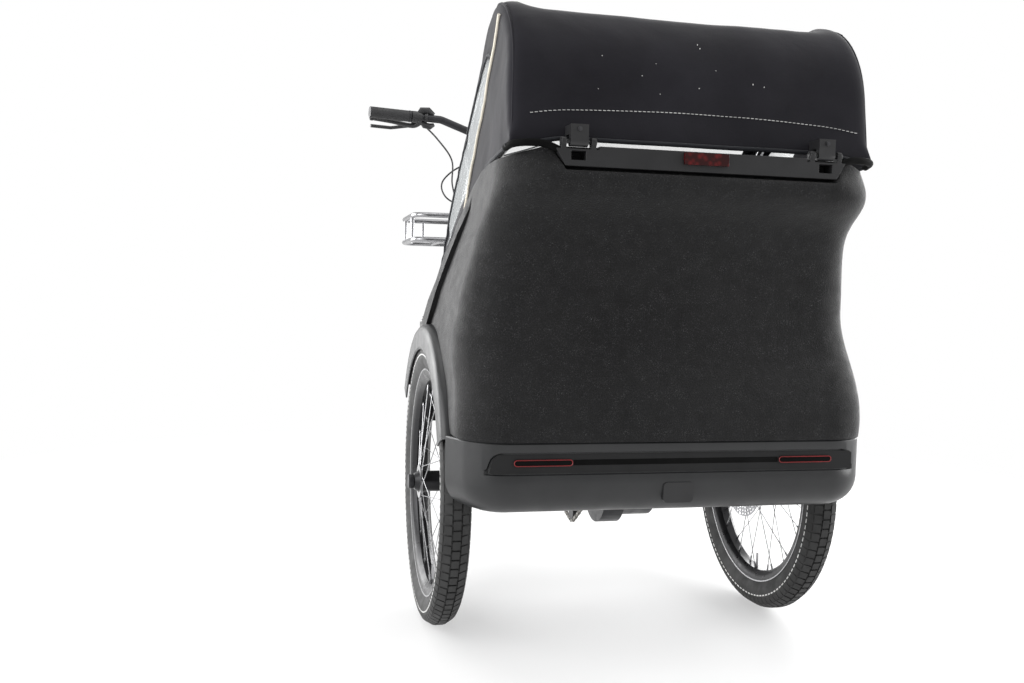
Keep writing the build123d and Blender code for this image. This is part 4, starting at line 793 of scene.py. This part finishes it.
def canopy_trim():
    """Welts, piping, bindings, stitches and lint that follow the cloth."""
    rows = [TRIM_STEP * index for index in range(int(NOSE_ROW / TRIM_STEP))]
    welt, piping, binding = Batch(), Batch(), Batch()
    for flip in SIDES:
        line = []
        for row in rows:
            edge = PROFILE.at(row)
            inner = edge + (WELT_REAR if row < TOP_ROW - 60 else WELT_TOP)
            line.append((flip * (side_x(edge.y) - WELT_IN), *inner))
        welt.tube(places(line), WELT_R * MM, TRIM_SIDES)
        shares = [0.05 + 0.92 * index / 40 for index in range(41)]
        out = Vector((flip * PIPING_OUT, 0, 0))
        line = [side_point(PIPING_ROW, share, flip) + out for share in shares]
        piping.tube(places(line), PIPING_R * MM, TRIM_SIDES)
        line = [side_point(row, HEM_SHARE, flip) for row in rows]
        binding.tube(places(line), HEM_R * MM, TRIM_SIDES)
        line = [side_point(row, WINDOW_SHARE[0] + 0.01, flip) for row in rows if row > PIPING_ROW + 12]
        binding.tube(places(line), WINDOW_EDGE_R * MM, TRIM_SIDES)
    binding.tube(places(roof_point(3.0, x) for x in range(-285, 286, 10)), HEM_R * MM, TRIM_SIDES)
    first, last = BROW_ROW + SCREEN_BORDER, NOSE_ROW - SCREEN_BORDER
    across = range(-248, 249, 16)
    between = [first + (last - first) * index / 40 for index in range(1, 40)]
    line = [roof_point(first, x) for x in across]
    line += [roof_point(row, SCREEN_EDGE) for row in between]
    line += [roof_point(last, x) for x in reversed(across)]
    line += [roof_point(row, -SCREEN_EDGE) for row in reversed(between)]
    binding.tube(places(line), SCREEN_EDGE_R * MM, TRIM_SIDES, closed=True)

    stitches = Batch()
    for x in range(-STITCH_END, STITCH_END + 4, 7):
        row = STITCH_Z - HEM_DROOP * (x / STITCH_END) ** 2 - CANOPY_HEM_Z
        out = Vector((0, -0.9, 0))
        ends = [roof_point(row, x) + out, roof_point(row, x + STITCH_LENGTH) + out]
        stitches.tube(places(ends), STITCH_R * MM, 5)

    lint = Batch()
    for index in range(LINT_COUNT):
        x = LINT_REACH * noise.noise(Vector((index * 1.7, 3.1, 0.4))) * 1.8
        row = 30 + 150 * abs(noise.noise(Vector((0.3, index * 2.3, 5.0)))) * 1.6
        spot = roof_point(row, max(-LINT_REACH, min(LINT_REACH, x))) + Vector((0, -0.6, 0))
        lint.box(at(*spot), (0.0012, 0.0006, 0.0008 + 0.0006 * (index % 3)))

    trims = (("welts", welt, "canopy_fabric"), ("piping", piping, "piping"), ("bindings", binding, "binding"),
             ("stitches", stitches, "thread"), ("lint", lint, "thread"))
    for name, batch, look in trims:
        batch.piece(f"canopy_{name}", "canopy", "canopy_fabric", MATERIALS[look])


# Wheels
TYRE_STEPS = 144
TREAD_PITCH = 92
TYRE_R = 260.0
TREAD_DEPTH = 2.6
CARCASS_RIGHT = [(12.0, 255.0), (21.5, 250.0), (25.0, 244.0), (25.8, 233.0), (24.0, 221.0), (18.4, 209.5),
                 (16.1, 203.3)]
CARCASS = [(-x, r) for x, r in reversed(CARCASS_RIGHT)] + [(0.0, 257.0)] + CARCASS_RIGHT
# Tread blocks: inner and outer edge across the tyre, offset in pitches
TREAD_ROWS = [(-6.6, 6.6, 0.0), (8.4, 20.6, 0.5), (-20.6, -8.4, 0.5)]
TREAD_FILL = 0.80
SHOULDER_BLOCKS = ((22.0, 250.6), (25.4, 244.6), (25.9, 240.0))
# Reflective dashes on both walls of a tyre
DASHES = 120
DASH_FILL = 0.62
DASH_OUTLINE = [(25.7, 234.2), (25.95, 234.2), (25.98, 236.6), (25.7, 236.6)]


def mirrored(outline, flip):
    return [(flip * x, r) for x, r in outline]


def tread_r(x):
    return TYRE_R - 9.0 * (x / 22.0) ** 2


def tyre_mesh():
    tyre = Batch()
    tyre.turned(CARCASS, steps=TYRE_STEPS)
    pitch = 2 * pi / TREAD_PITCH
    for low, high, shift in TREAD_ROWS:
        ring = [(low, tread_r(low) - TREAD_DEPTH), (low + 0.4, tread_r(low) - 0.1),
                (high - 0.4, tread_r(high) - 0.1), (high, tread_r(high) - TREAD_DEPTH)]
        for index in range(TREAD_PITCH):
            tyre.sector(ring, (index + shift) * pitch, pitch * TREAD_FILL)
    inner = [(x - 2.4, r - 1.4) for x, r in reversed(SHOULDER_BLOCKS)]
    for flip in SIDES:
        ring = mirrored([*SHOULDER_BLOCKS, *inner], flip)
        for index in range(TREAD_PITCH):
            tyre.sector(ring, (index + 0.5) * pitch, pitch * TREAD_FILL)
    return tyre.mesh("tyre")


def dash_mesh():
    dashes = Batch()
    pitch = 2 * pi / DASHES
    for flip in SIDES:
        for index in range(DASHES):
            dashes.sector(mirrored(DASH_OUTLINE, flip), index * pitch, pitch * DASH_FILL, 1)
    return dashes.mesh("dashes")


# Outlines of the wheel's parts: (x, radius)
RIM = [(-19.0, 209.5), (-17.6, 210.2), (-16.4, 209.5), (-16.4, 203.0), (16.4, 203.0), (16.4, 209.5),
       (17.6, 210.2), (19.0, 209.5), (18.6, 200.4), (14.0, 193.0), (8.0, 188.0), (-8.0, 188.0),
       (-14.0, 193.0), (-18.6, 200.4)]
# A thin bright metal ring on the outer face of each rim flange: a painted highlight along the flange's edge
RIM_EDGE_HIGHLIGHT = [(-19.3, 209.0), (-18.9, 206.8), (-18.6, 206.8), (-18.6, 209.4)]
HUB_RIGHT = [(16, 19), (25, 22), (26, 30), (29, 30), (29, 20), (34, 17), (38, 15), (38, 9.1)]
HUB = [(-x, r) for x, r in reversed(HUB_RIGHT)] + HUB_RIGHT
HUB_FLANGE = [(25.6, 31.0), (29.4, 31.0), (29.4, 21.0), (25.6, 23.0)]
SPOKES = 32
SPOKE_LEAN = 60
SPOKE_HUB = (27.5, 27)
SPOKE_RIM = (3.8, 189)
VALVE = ((0, 0, -0.201), (0, 0, -0.158))
ROTOR_X = 38.0
ROTOR_BANDS = ((82.0, 79.0), (75.5, 72.5), (69.0, 66.0), (62.0, 58.0))
ROTOR_HOLES = 40
ROTOR_ARMS = 5
# One arm of a rotor: radius, turn and half width as angles
ROTOR_ARM = ((27, 0.0, 0.20), (44, 0.22, 0.10), (61, 0.5, 0.09))
ROTOR_BOSS = [(34, 30), (40, 30), (40, 10), (34, 10)]
ROTOR_BOLTS = 6


def wheel_meshes(rotor_side):
    """The rim with its hub, the bright parts with a painted highlight ring on each rim flange, and the brake rotor.
    """
    body = Batch()
    body.turned(RIM, steps=120)
    body.turned(HUB, steps=40)
    bright = Batch()
    for flip in SIDES:
        # Painted highlight ring on each rim flange
        bright.turned(mirrored(RIM_EDGE_HIGHLIGHT, flip), steps=120)
        bright.turned(mirrored(HUB_FLANGE, flip), steps=48)
    for index in range(SPOKES):
        angle = 2 * pi * index / SPOKES
        flip = 1 if index % 2 else -1
        lean = radians(SPOKE_LEAN if index % 4 < 2 else -SPOKE_LEAN)
        hub = polar(flip * SPOKE_HUB[0], SPOKE_HUB[1], angle + lean)
        rim = polar(flip * SPOKE_RIM[0], SPOKE_RIM[1], angle)
        bright.tube([hub, rim], 0.9 * MM, 6)
        along = (rim - hub).normalized() * MM
        bright.tube([rim - along * 12, rim + along], 2.0 * MM, 6)
    bright.tube(VALVE, lambda share: (3.0 - 0.6 * share) * MM, 8)
    rotor = Batch()
    x = rotor_side * ROTOR_X
    for outer, inner in ROTOR_BANDS:
        rotor.turned([(x - 1, outer), (x + 1, outer), (x + 1, inner), (x - 1, inner)], steps=96)
    for index in range(ROTOR_HOLES):
        angle = 2 * pi * index / ROTOR_HOLES
        lean = 0.35 * pi / ROTOR_HOLES * (1 if index % 2 else -1)
        for (_, outer), (inner, _) in zip(ROTOR_BANDS, ROTOR_BANDS[1:]):
            ends = [polar(x, outer + 0.5, angle + lean), polar(x, inner - 0.5, angle - lean)]
            rotor.tube(ends, 1.4 * MM, 4)
    for index in range(ROTOR_ARMS):
        rings = []
        for r, turn, wide in ROTOR_ARM:
            middle = 2 * pi * index / ROTOR_ARMS + turn
            corners = ((-0.9, -wide), (0.9, -wide), (0.9, wide), (-0.9, wide))
            rings.append([polar(x + side, r, middle + spread) for side, spread in corners])
        rotor.rings(rings)
    rotor.turned(mirrored(ROTOR_BOSS, rotor_side), steps=40)
    for index in range(ROTOR_BOLTS):
        ends = [polar(rotor_side * reach, 22, 2 * pi * index / ROTOR_BOLTS) for reach in (40.6, 42.0)]
        rotor.tube(ends, 2.6 * MM, 8)
    return body.mesh("rim"), bright.mesh("spokes_and_rim_highlight"), rotor.mesh("rotor")


# Wheels: side, body, side offset and distance ahead, side of the rotor, names of the CAD nodes
WHEELS = [("left", "rear_roller_left", (-WHEEL_X, 0.0), 1, "rear_{}_left"),
          ("right", "rear_roller_right", (WHEEL_X, 0.0), -1, "rear_{}_right"),
          ("front", "front_roller", (0.0, WHEELBASE), -1, "front_{}")]


def make_wheels():
    tyre = tyre_mesh()
    dashes = dash_mesh()
    for side, body, place, rotor_side, node in WHEELS:
        rim, spokes_and_rim_highlight, rotor = wheel_meshes(rotor_side)
        pieces = ((tyre, "tyre_tread", "tyre_rubber", "tyre_rubber", "tyre"),
                  (dashes, "tyre_dashes", "tyre_rubber", "reflective", ""),
                  (rim, "rim", "black_metal", "rim", "wheel"), (spokes_and_rim_highlight, "spokes_and_rim_highlight", "bare_alloy", "spoke", ""),
                  (rotor, "rotor", "bare_alloy", "rotor", ""))
        for mesh, name, slot, look, part in pieces:
            data = mesh.copy()
            data.transform(Matrix.Translation(at(*place, AXLE_Z)))
            replaced = (node.format(part),) if part else ()
            finish_mesh(data, f"{name}_{side}", body, slot, MATERIALS[look], replaced)


# Rear fenders: arched sheet with a rounded shoulder and a bead along the skirt, as (x, radius)
FENDER_ANGLES = (33.0, 156.0)
FENDER_OUTLINE = [(301.0, 289.3), (301.0, 291.7), (345.0, 291.7), (351.0, 290.8), (356.5, 288.0),
                  (359.8, 283.5), (361.0, 277.0), (361.0, 250.0), (361.0, 246.0), (359.6, 244.7),
                  (357.8, 246.0), (358.4, 250.0), (358.5, 276.0), (357.4, 281.2), (354.8, 285.2),
                  (350.5, 288.0), (345.0, 289.2)]


def make_fenders():
    for flip, side in ((-1, "left"), (1, "right")):
        fender = Batch()
        fender.turned(mirrored(FENDER_OUTLINE, flip), at(0, 0, AXLE_Z), 72, *FENDER_ANGLES)
        fender.piece(f"fender_shell_{side}", "chassis", "moulded_grey", replaced=(f"fender_{side}",),
                     sharp=50.0)


# Nodes that keep their CAD form, with their bevels in millimetres
SOFTENED = [("cabin_tub", 3.0), ("rear_rail", 1.2), ("front_cap_rail", 3.0), ("port_cover", 1.5),
            ("main_frame", 1.0), ("rear_axle_carrier", 1.0), ("differential", 3.0), ("gear_hub", 2.0),
            ("motor", 3.0), ("battery", 4.0), ("chain_tensioner", 0.8), ("rear_calipers", 2.5),
            ("front_caliper", 2.5), ("crankset", 1.2), ("stem", 1.0), ("display", 3.0),
            ("canopy_hinges", 1.0), ("top_reflector", 1.0), ("tail_lights", 0.5), ("headlight", 2.0), ("fork", 1.5),
            ("front_fender", 0.8), ("pedal_left", 2.0), ("pedal_right", 2.0), ("seatpost", 0.5),
            ("front_rack", 0.5), ("handlebar", 0.3), ("canopy_frame", 0.3)]


def soften_nodes():
    """Bevels the nodes' edges by modifiers, which leave their meshes alone."""
    for name, bevel in SOFTENED:
        node = NODES[name]
        weld = node.modifiers.new("weld", "WELD")
        weld.merge_threshold = WELD_REACH
        edge = node.modifiers.new("edges", "BEVEL")
        edge.width = bevel * MM
        edge.segments = 2
        edge.limit_method = "ANGLE"
        edge.angle_limit = radians(35)
        edge.harden_normals = True


# Bumper's band with its lamps, a black strip that paints the shadow in the slot between them, and bolts on the
# hinge brackets
LAMP_X = 219.0
LAMP_Z = 355.0
LAMP_RIM = (46.0, 9.0)
LAMP_FACE = (44.0, 7.0)
BUMPER_FACE = -369.0
BAND_RING = [(-303.0, 341.0), (-300.0, 339.0), (300.0, 339.0), (303.0, 342.0), (303.0, 365.0),
             (298.0, 368.0), (-290.0, 368.0), (-298.0, 362.0)]
GROOVE_SHADOW_SIZE = (0.342, 0.002, 0.0085)
BOLT_PLACE = (196.5, -444.4, 851.0)
BOLT_HEAD = Vector((0, -0.0022, 0))
BOLT_END = Vector((0, -0.0030, 0))


def slot_outline(centre_x, half, height, steps=10):
    """A lying slot seen from behind, as (x, z)."""
    points = []
    for flip in (1, -1):
        for step in range(steps + 1):
            angle = pi * step / steps - flip * pi / 2
            middle = centre_x + flip * (half - height / 2)
            points.append((middle + height / 2 * cos(angle), height / 2 * sin(angle)))
    return points


# Dark seal on the tub's rear corners, which also paints the shadow in the gap beside the rail's ends: side offset,
# ahead, height
RIM_SEAL_AND_SHADOW = [(226, -433, 822), (246, -432, 829), (270, -428, 830), (288, -414, 829), (294, -392, 826)]
SEAL_SHADOW_R = 5.5


def rear_details():
    # A darker sheet lying on the floor of the recessed band
    band = Batch()
    band.rings([[at(x, BUMPER_FACE - depth, z) for x, z in BAND_RING] for depth in (0.2, 1.0)])
    band.piece("band_dark_sheet", "chassis", "moulded_grey", MATERIALS["band"])
    # A black strip in the slot between the lamps: painted shadow of the deep slot
    groove_shadow = Batch()
    groove_shadow.box(at(0, BUMPER_FACE - 0.8, LAMP_Z), GROOVE_SHADOW_SIZE, bevel=0.0004)
    groove_shadow.piece("lamp_groove_shadow", "chassis", "moulded_grey", MATERIALS["lamp_face"])
    rims, dark, bolts, seal_shadow = Batch(), Batch(), Batch(), Batch()
    for flip in SIDES:
        x = flip * LAMP_X
        line = [at(px, BUMPER_FACE - 3.2, LAMP_Z + pz) for px, pz in slot_outline(x, *LAMP_RIM)]
        rims.tube(line, 0.8 * MM, 6, closed=True)
        face = slot_outline(x, *LAMP_FACE)
        dark.rings([[at(px, ahead, LAMP_Z + pz) for px, pz in face] for ahead in (-371.0, -372.6)])
        spot = at(flip * BOLT_PLACE[0], *BOLT_PLACE[1:])
        bolts.tube([spot, spot + BOLT_HEAD], 3.4 * MM, 12)
        bolts.tube([spot + BOLT_HEAD, spot + BOLT_END], 1.9 * MM, 6)
        # A near-black tube along the rim: a seal, and painted shadow of the gap beside the rail
        seal_shadow.tube(smooth_line([at(flip * x, ahead, z) for x, ahead, z in RIM_SEAL_AND_SHADOW]), SEAL_SHADOW_R * MM, 12)
    rims.piece("lamp_rims", "chassis", "red_lens", MATERIALS["lamp_rim"])
    dark.piece("lamp_faces", "chassis", "red_lens", MATERIALS["lamp_face"])
    bolts.piece("bracket_bolts", "canopy", "bare_alloy", MATERIALS["bolt"])
    seal_shadow.piece("rim_seals_and_shadow", "chassis", "grip_rubber", MATERIALS["lamp_face"])


# Bumper skin: plan outline, band and lower edge
BUMPER_REAR = -374.0
BUMPER_TOP = 386.0
BUMPER_LOW = 271.0
BUMPER_ROUND = 50.0
BUMPER_WALL = 4.0
BUMPER_TURN = (268.0, -298.0, 76.0)
BUMPER_FLARE = 67.0
BUMPER_END = -283.0
BAND_HALF = 306.0
BAND_Z = (337.0, 370.0)
BAND_DEPTH = 5.0
BAND_CORNER = 24.0


def bumper_plan():
    """Points of the outer line from the middle to the right end, with their outward directions."""
    turn_x, turn_ahead, radius = BUMPER_TURN
    line = [((turn_x * index / 24, BUMPER_REAR), (0.0, -1.0)) for index in range(24)]
    for index in range(19):
        angle = radians(BUMPER_FLARE) * index / 18
        out = (sin(angle), -cos(angle))
        line.append(((turn_x + radius * out[0], turn_ahead + radius * out[1]), out))
    (x, ahead), out = line[-1]
    run = (-out[1], out[0])
    for index in range(1, 7):
        go = (BUMPER_END - ahead) / run[1] * index / 6
        line.append(((x + run[0] * go, ahead + run[1] * go), out))
    return line


def bumper_section(x):
    """The wall's outline at a place across the bumper, as (inset, height)."""
    low, high = BAND_Z
    depth, lip = BAND_DEPTH, 1.0
    past = (abs(x) - BAND_HALF + BAND_CORNER) / BAND_CORNER
    if past > 1:
        depth, lip, past = 0.0, 0.0, 1.0
    if past > 0:
        high -= (high - low) * 0.85 * (1 - (1 - past ** 2) ** 0.5)
    outer = [(5.0, BUMPER_TOP), (1.4, BUMPER_TOP - 0.5), (0.0, BUMPER_TOP - 2.5), (0.0, high + 3.0),
             (lip, high + 1.2), (depth, high), (depth, low), (lip * 0.6, low - 1.0), (0.0, low - 2.0)]
    curve = [radians(90.0 * index / 9) for index in range(10)]
    middle = BUMPER_LOW + BUMPER_ROUND
    outer += [(BUMPER_ROUND * (1 - cos(angle)), middle - BUMPER_ROUND * sin(angle)) for angle in curve]
    within = BUMPER_ROUND - BUMPER_WALL
    inner = [(BUMPER_ROUND - within * cos(angle), middle - within * sin(angle)) for angle in reversed(curve)]
    return outer + inner + [(BUMPER_WALL + 5.5, low - 3.0), (BUMPER_WALL + 5.5, BUMPER_TOP - 1.0)]


def make_bumper():
    half = bumper_plan()
    line = [((-x, ahead), (-out_x, out_y)) for (x, ahead), (out_x, out_y) in reversed(half[1:])] + half
    rings = []
    for (x, ahead), (out_x, out_y) in line:
        rings.append([at(x - out_x * inset, ahead - out_y * inset, z) for inset, z in bumper_section(x)])
    skin = Batch()
    skin.rings(rings)
    skin.piece("bumper_skin", "chassis", "moulded_grey", replaced=("rear_bumper",), sharp=32.0)


# Cushions: a soft form that a cloth simulation swells; lengths in metres
CUSHION_VOXEL = 0.009
CUSHION_SMOOTH = 6
CUSHION_FRAMES = 16
CUSHION_PRESSURE = 4.0
CUSHION_INSET = 0.012
CUSHION_CAP = 0.016
SADDLE_VOXEL = 0.004
SADDLE_SMOOTH = 14
SADDLE_DIP = 0.008
SADDLE_DROOP = 0.010
SADDLE_HALF = 0.075
SADDLE_BASE = 0.012


def soft_copy(node, name, slot, inset, voxel, smooth):
    """A closed, evenly meshed and rounded copy of a node that stands in its place."""
    low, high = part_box(node)
    data = NODES[node].data.copy()
    edit_mesh(data, lambda form: bmesh.ops.remove_doubles(form, verts=form.verts, dist=WELD_REACH))
    data.materials.clear()
    piece = finish_mesh(data, name, "chassis", slot, replaced=(node,), sharp=180.0)
    middle = (low + high) / 2
    for vertex in piece.data.vertices if inset else ():
        for axis in range(3):
            size = (high[axis] - low[axis]) / 2
            vertex.co[axis] = middle[axis] + (vertex.co[axis] - middle[axis]) * (size - inset) / size
    grid = piece.modifiers.new("grid", "REMESH")
    grid.mode = "VOXEL"
    grid.voxel_size = voxel
    soft = piece.modifiers.new("soft", "SMOOTH")
    soft.factor = 0.5
    soft.iterations = smooth
    apply_modifiers(piece)
    smooth_faces(piece.data)
    piece.data.materials.clear()
    piece.data.materials.append(MATERIALS[slot])
    return piece, low, high


def make_cushion(node, name):
    piece, low, high = soft_copy(node, name, "seat_fabric", CUSHION_INSET, CUSHION_VOXEL, CUSHION_SMOOTH)
    rest = [vertex.co.copy() for vertex in piece.data.vertices]
    cloth = piece.modifiers.new("cloth", "CLOTH")
    cloth.settings.use_pressure = True
    cloth.settings.uniform_pressure_force = CUSHION_PRESSURE
    cloth.settings.effector_weights.gravity = 0.0
    cloth.settings.quality = 4
    for frame_number in range(1, CUSHION_FRAMES + 1):
        SCENE.frame_set(frame_number)
    seen = piece.evaluated_get(bpy.context.evaluated_depsgraph_get())
    moved = [vertex.co.copy() for vertex in seen.data.vertices]
    piece.modifiers.clear()
    for vertex, before, after in zip(piece.data.vertices, rest, moved):
        shift = after - before
        if shift.length > CUSHION_CAP:
            shift *= CUSHION_CAP / shift.length
        vertex.co = [min(max(part, a), b) for part, a, b in zip(before + shift, low, high)]
    SCENE.frame_set(1)


def make_saddle():
    """The saddle's cover: dipped along its middle, drooping at its sides, and as large as its node."""
    piece, low, high = soft_copy("saddle", "saddle_cover", "grip_rubber", 0.0, SADDLE_VOXEL, SADDLE_SMOOTH)
    vertices = piece.data.vertices
    for vertex in vertices:
        share = (vertex.co.y - low.y) / (high.y - low.y)
        side = abs(vertex.co.x) / SADDLE_HALF
        if vertex.co.z > low.z + SADDLE_BASE:
            vertex.co.z -= SADDLE_DIP * sin(pi * share) + SADDLE_DROOP * side * side
    for axis in range(3):
        least = min(vertex.co[axis] for vertex in vertices)
        most = max(vertex.co[axis] for vertex in vertices)
        for vertex in vertices:
            share = (vertex.co[axis] - least) / (most - least)
            vertex.co[axis] = low[axis] + share * (high[axis] - low[axis])


# Chains: node, name, side offset, and the circles (ahead, height, radius) round which each runs
CHAINS = [("drive_chain_front", "chain_links_front", 48.0,
           [(860.0, 285.0, 81.0), (250.0, 210.0, 40.0), (368.0, 112.0, 22.0)]),
          ("drive_chain_rear", "chain_links_rear", 98.0, [(250.0, 210.0, 34.0), (0.0, 260.0, 58.0)])]
LINK_PITCH = 12.7


def hull_path(circles):
    """The line round the outside of circles in side view, as points a few millimetres apart."""
    dots = []
    for ahead, z, radius in circles:
        for step in range(180):
            angle = 2 * pi * step / 180
            dots.append((ahead + radius * cos(angle), z + radius * sin(angle)))
    dots.sort()
    halves = []
    for line in (dots, list(reversed(dots))):
        hull = []
        for point in line:
            while len(hull) > 1 and ((hull[-1][0] - hull[-2][0]) * (point[1] - hull[-2][1])
                                     - (hull[-1][1] - hull[-2][1]) * (point[0] - hull[-2][0])) <= 0:
                hull.pop()
            hull.append(point)
        halves += hull[:-1]
    return Path(halves + [halves[0]])


def make_chains():
    """Rollers and waisted side plates along the CAD bands."""
    for node, name, x, circles in CHAINS:
        route = hull_path(circles)
        count = round(route.length / LINK_PITCH)
        chain = Batch()
        for index in range(count):
            a = route.at(route.length * index / count)
            b = route.at(route.length * ((index + 1) % count) / count)
            run = (b - a).normalized()
            up = Vector((-run.y, run.x)) * 3.2
            middle = (a + b) / 2
            plate = [a - run * 3 + up * 0.6, a + up, middle + up * 0.62, b + up, b + run * 3 + up * 0.6,
                     b + run * 3 - up * 0.6, b - up, middle - up * 0.62, a - up, a - run * 3 - up * 0.6]
            offset = 3.2 if index % 2 else 2.2
            for flip in SIDES:
                chain.rings([[at(x + flip * offset + shift, *point) for point in plate]
                             for shift in (-0.4, 0.4)])
            chain.tube([at(x - 3.6, *a), at(x + 3.6, *a)], 2.0 * MM, 8)
        chain.piece(name, "chassis", "steel_chain", replaced=(node,))


# Handlebar's grips, from the outer end to the inner one
BAR_AHEAD = 1149.97
BAR_OUTER = Vector((366.0, BAR_AHEAD - 41.0, 1123.0))
BAR_INNER = Vector((158.0, BAR_AHEAD - 12.0, 1118.0))


def bar_spot(flip, along, down=0.0, forward=0.0):
    """A point on a bar half, measured from its outer end."""
    run = (BAR_INNER - BAR_OUTER).normalized()
    spot = BAR_OUTER + run * along
    return at(flip * spot.x, spot.y + forward, spot.z - down)


# Brake hoses: name, points from the lever to the head tube (side offset, ahead, height)
HOSES = [("brake_hose_left", [(-212, 1142, 1104), (-160, 1180, 1066), (-112, 1206, 1010), (-108, 1214, 940),
                              (-92, 1208, 892), (-56, 1194, 876), (-22, 1178, 884)]),
         ("brake_hose_right", [(212, 1142, 1104), (170, 1186, 1072), (60, 1216, 1036), (-70, 1222, 1000),
                               (-136, 1216, 948), (-130, 1206, 900), (-80, 1192, 872), (-22, 1174, 866)])]
HOSE_WIDE = 5.0


def make_hoses():
    for name, points in HOSES:
        line = smooth_line(places(points))
        hose = Batch()
        hose.tube(line, HOSE_WIDE / 2 * MM, 10)
        piece = hose.piece(name, None, "grip_rubber")
        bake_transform(piece)


# Grip ribs: their count, the first one's place, the run of all, half a rib's width and their radius
RIBS = 25
RIB_FIRST = 4.0
RIB_RUN = 108.0
RIB_HALF = 1.4
RIB_R = 16.4
# Collars on the grips, and the clamps beside them: start, end, radius
COLLARS = [(-4.0, -1.0, 16.2), (112.0, 117.0, 17.2)]
CLAMPS = [(136.0, 150.0, 15.0), (158.0, 166.0, 14.0)]
# Shifter, bell and the right side's pod: side, least radius, places (along, down, forward)
PODS = [(-1, 6.0, [(140.0, -8.0), (150.0, -20.0), (172.0, -22.0), (188.0, -12.0)]),
        (-1, 5.0, [(150.0, 12.0, 4.0), (160.0, 20.0, 6.0), (178.0, 22.0, 6.0), (190.0, 16.0, 4.0)]),
        (1, 6.0, [(140.0, -10.0), (160.0, -18.0), (178.0, -10.0)])]
BLADE = [(150.0, 10.0, 10.0), (126.0, 22.0, 24.0), (66.0, 14.0, 38.0), (4.0, 14.0, 20.0)]
BLADE_TIP = (0.015, 0.013, 0.013)


def bar_details():
    """Ribs and collars of the grips, clamps, pods and brake levers."""
    grip, extras, caps = Batch(), Batch(), Batch()
    for flip in SIDES:
        for index in range(RIBS):
            along = RIB_FIRST + RIB_RUN * index / (RIBS - 1)
            grip.tube([bar_spot(flip, along - RIB_HALF), bar_spot(flip, along + RIB_HALF)], RIB_R * MM, 24)
        for start, end, radius in COLLARS:
            caps.tube([bar_spot(flip, start), bar_spot(flip, end)], radius * MM, 24)
        for start, end, radius in CLAMPS:
            extras.tube([bar_spot(flip, start), bar_spot(flip, end)], radius * MM, 20)
    for flip, least, spots in PODS:
        line = [bar_spot(flip, *spot) for spot in spots]
        extras.tube(line, lambda share: (least + 5.0 * sin(pi * share)) * MM, 12)
    for flip in SIDES:
        blade = [bar_spot(flip, *spot) for spot in BLADE]
        extras.tube(smooth_line(blade), lambda share: (10.0 - 4.6 * share ** 0.5) * MM, 12)
        extras.box(blade[-1], BLADE_TIP, bevel=0.0055)
    grip.piece("grip_ribs", "steering", "grip_rubber")
    caps.piece("grip_collars", "steering", "black_metal")
    extras.piece("bar_pods", "steering", "moulded_grey", MATERIALS["pod"])


make_camera()
make_stage()
make_lamps()
paint_nodes()
soften_nodes()
make_cushion("bench_seat", "bench_cushion")
make_cushion("backrest", "back_cushion")
make_saddle()
make_canopy()
canopy_trim()
make_wheels()
make_fenders()
make_chains()
make_bumper()
rear_details()
bar_details()
make_hoses()
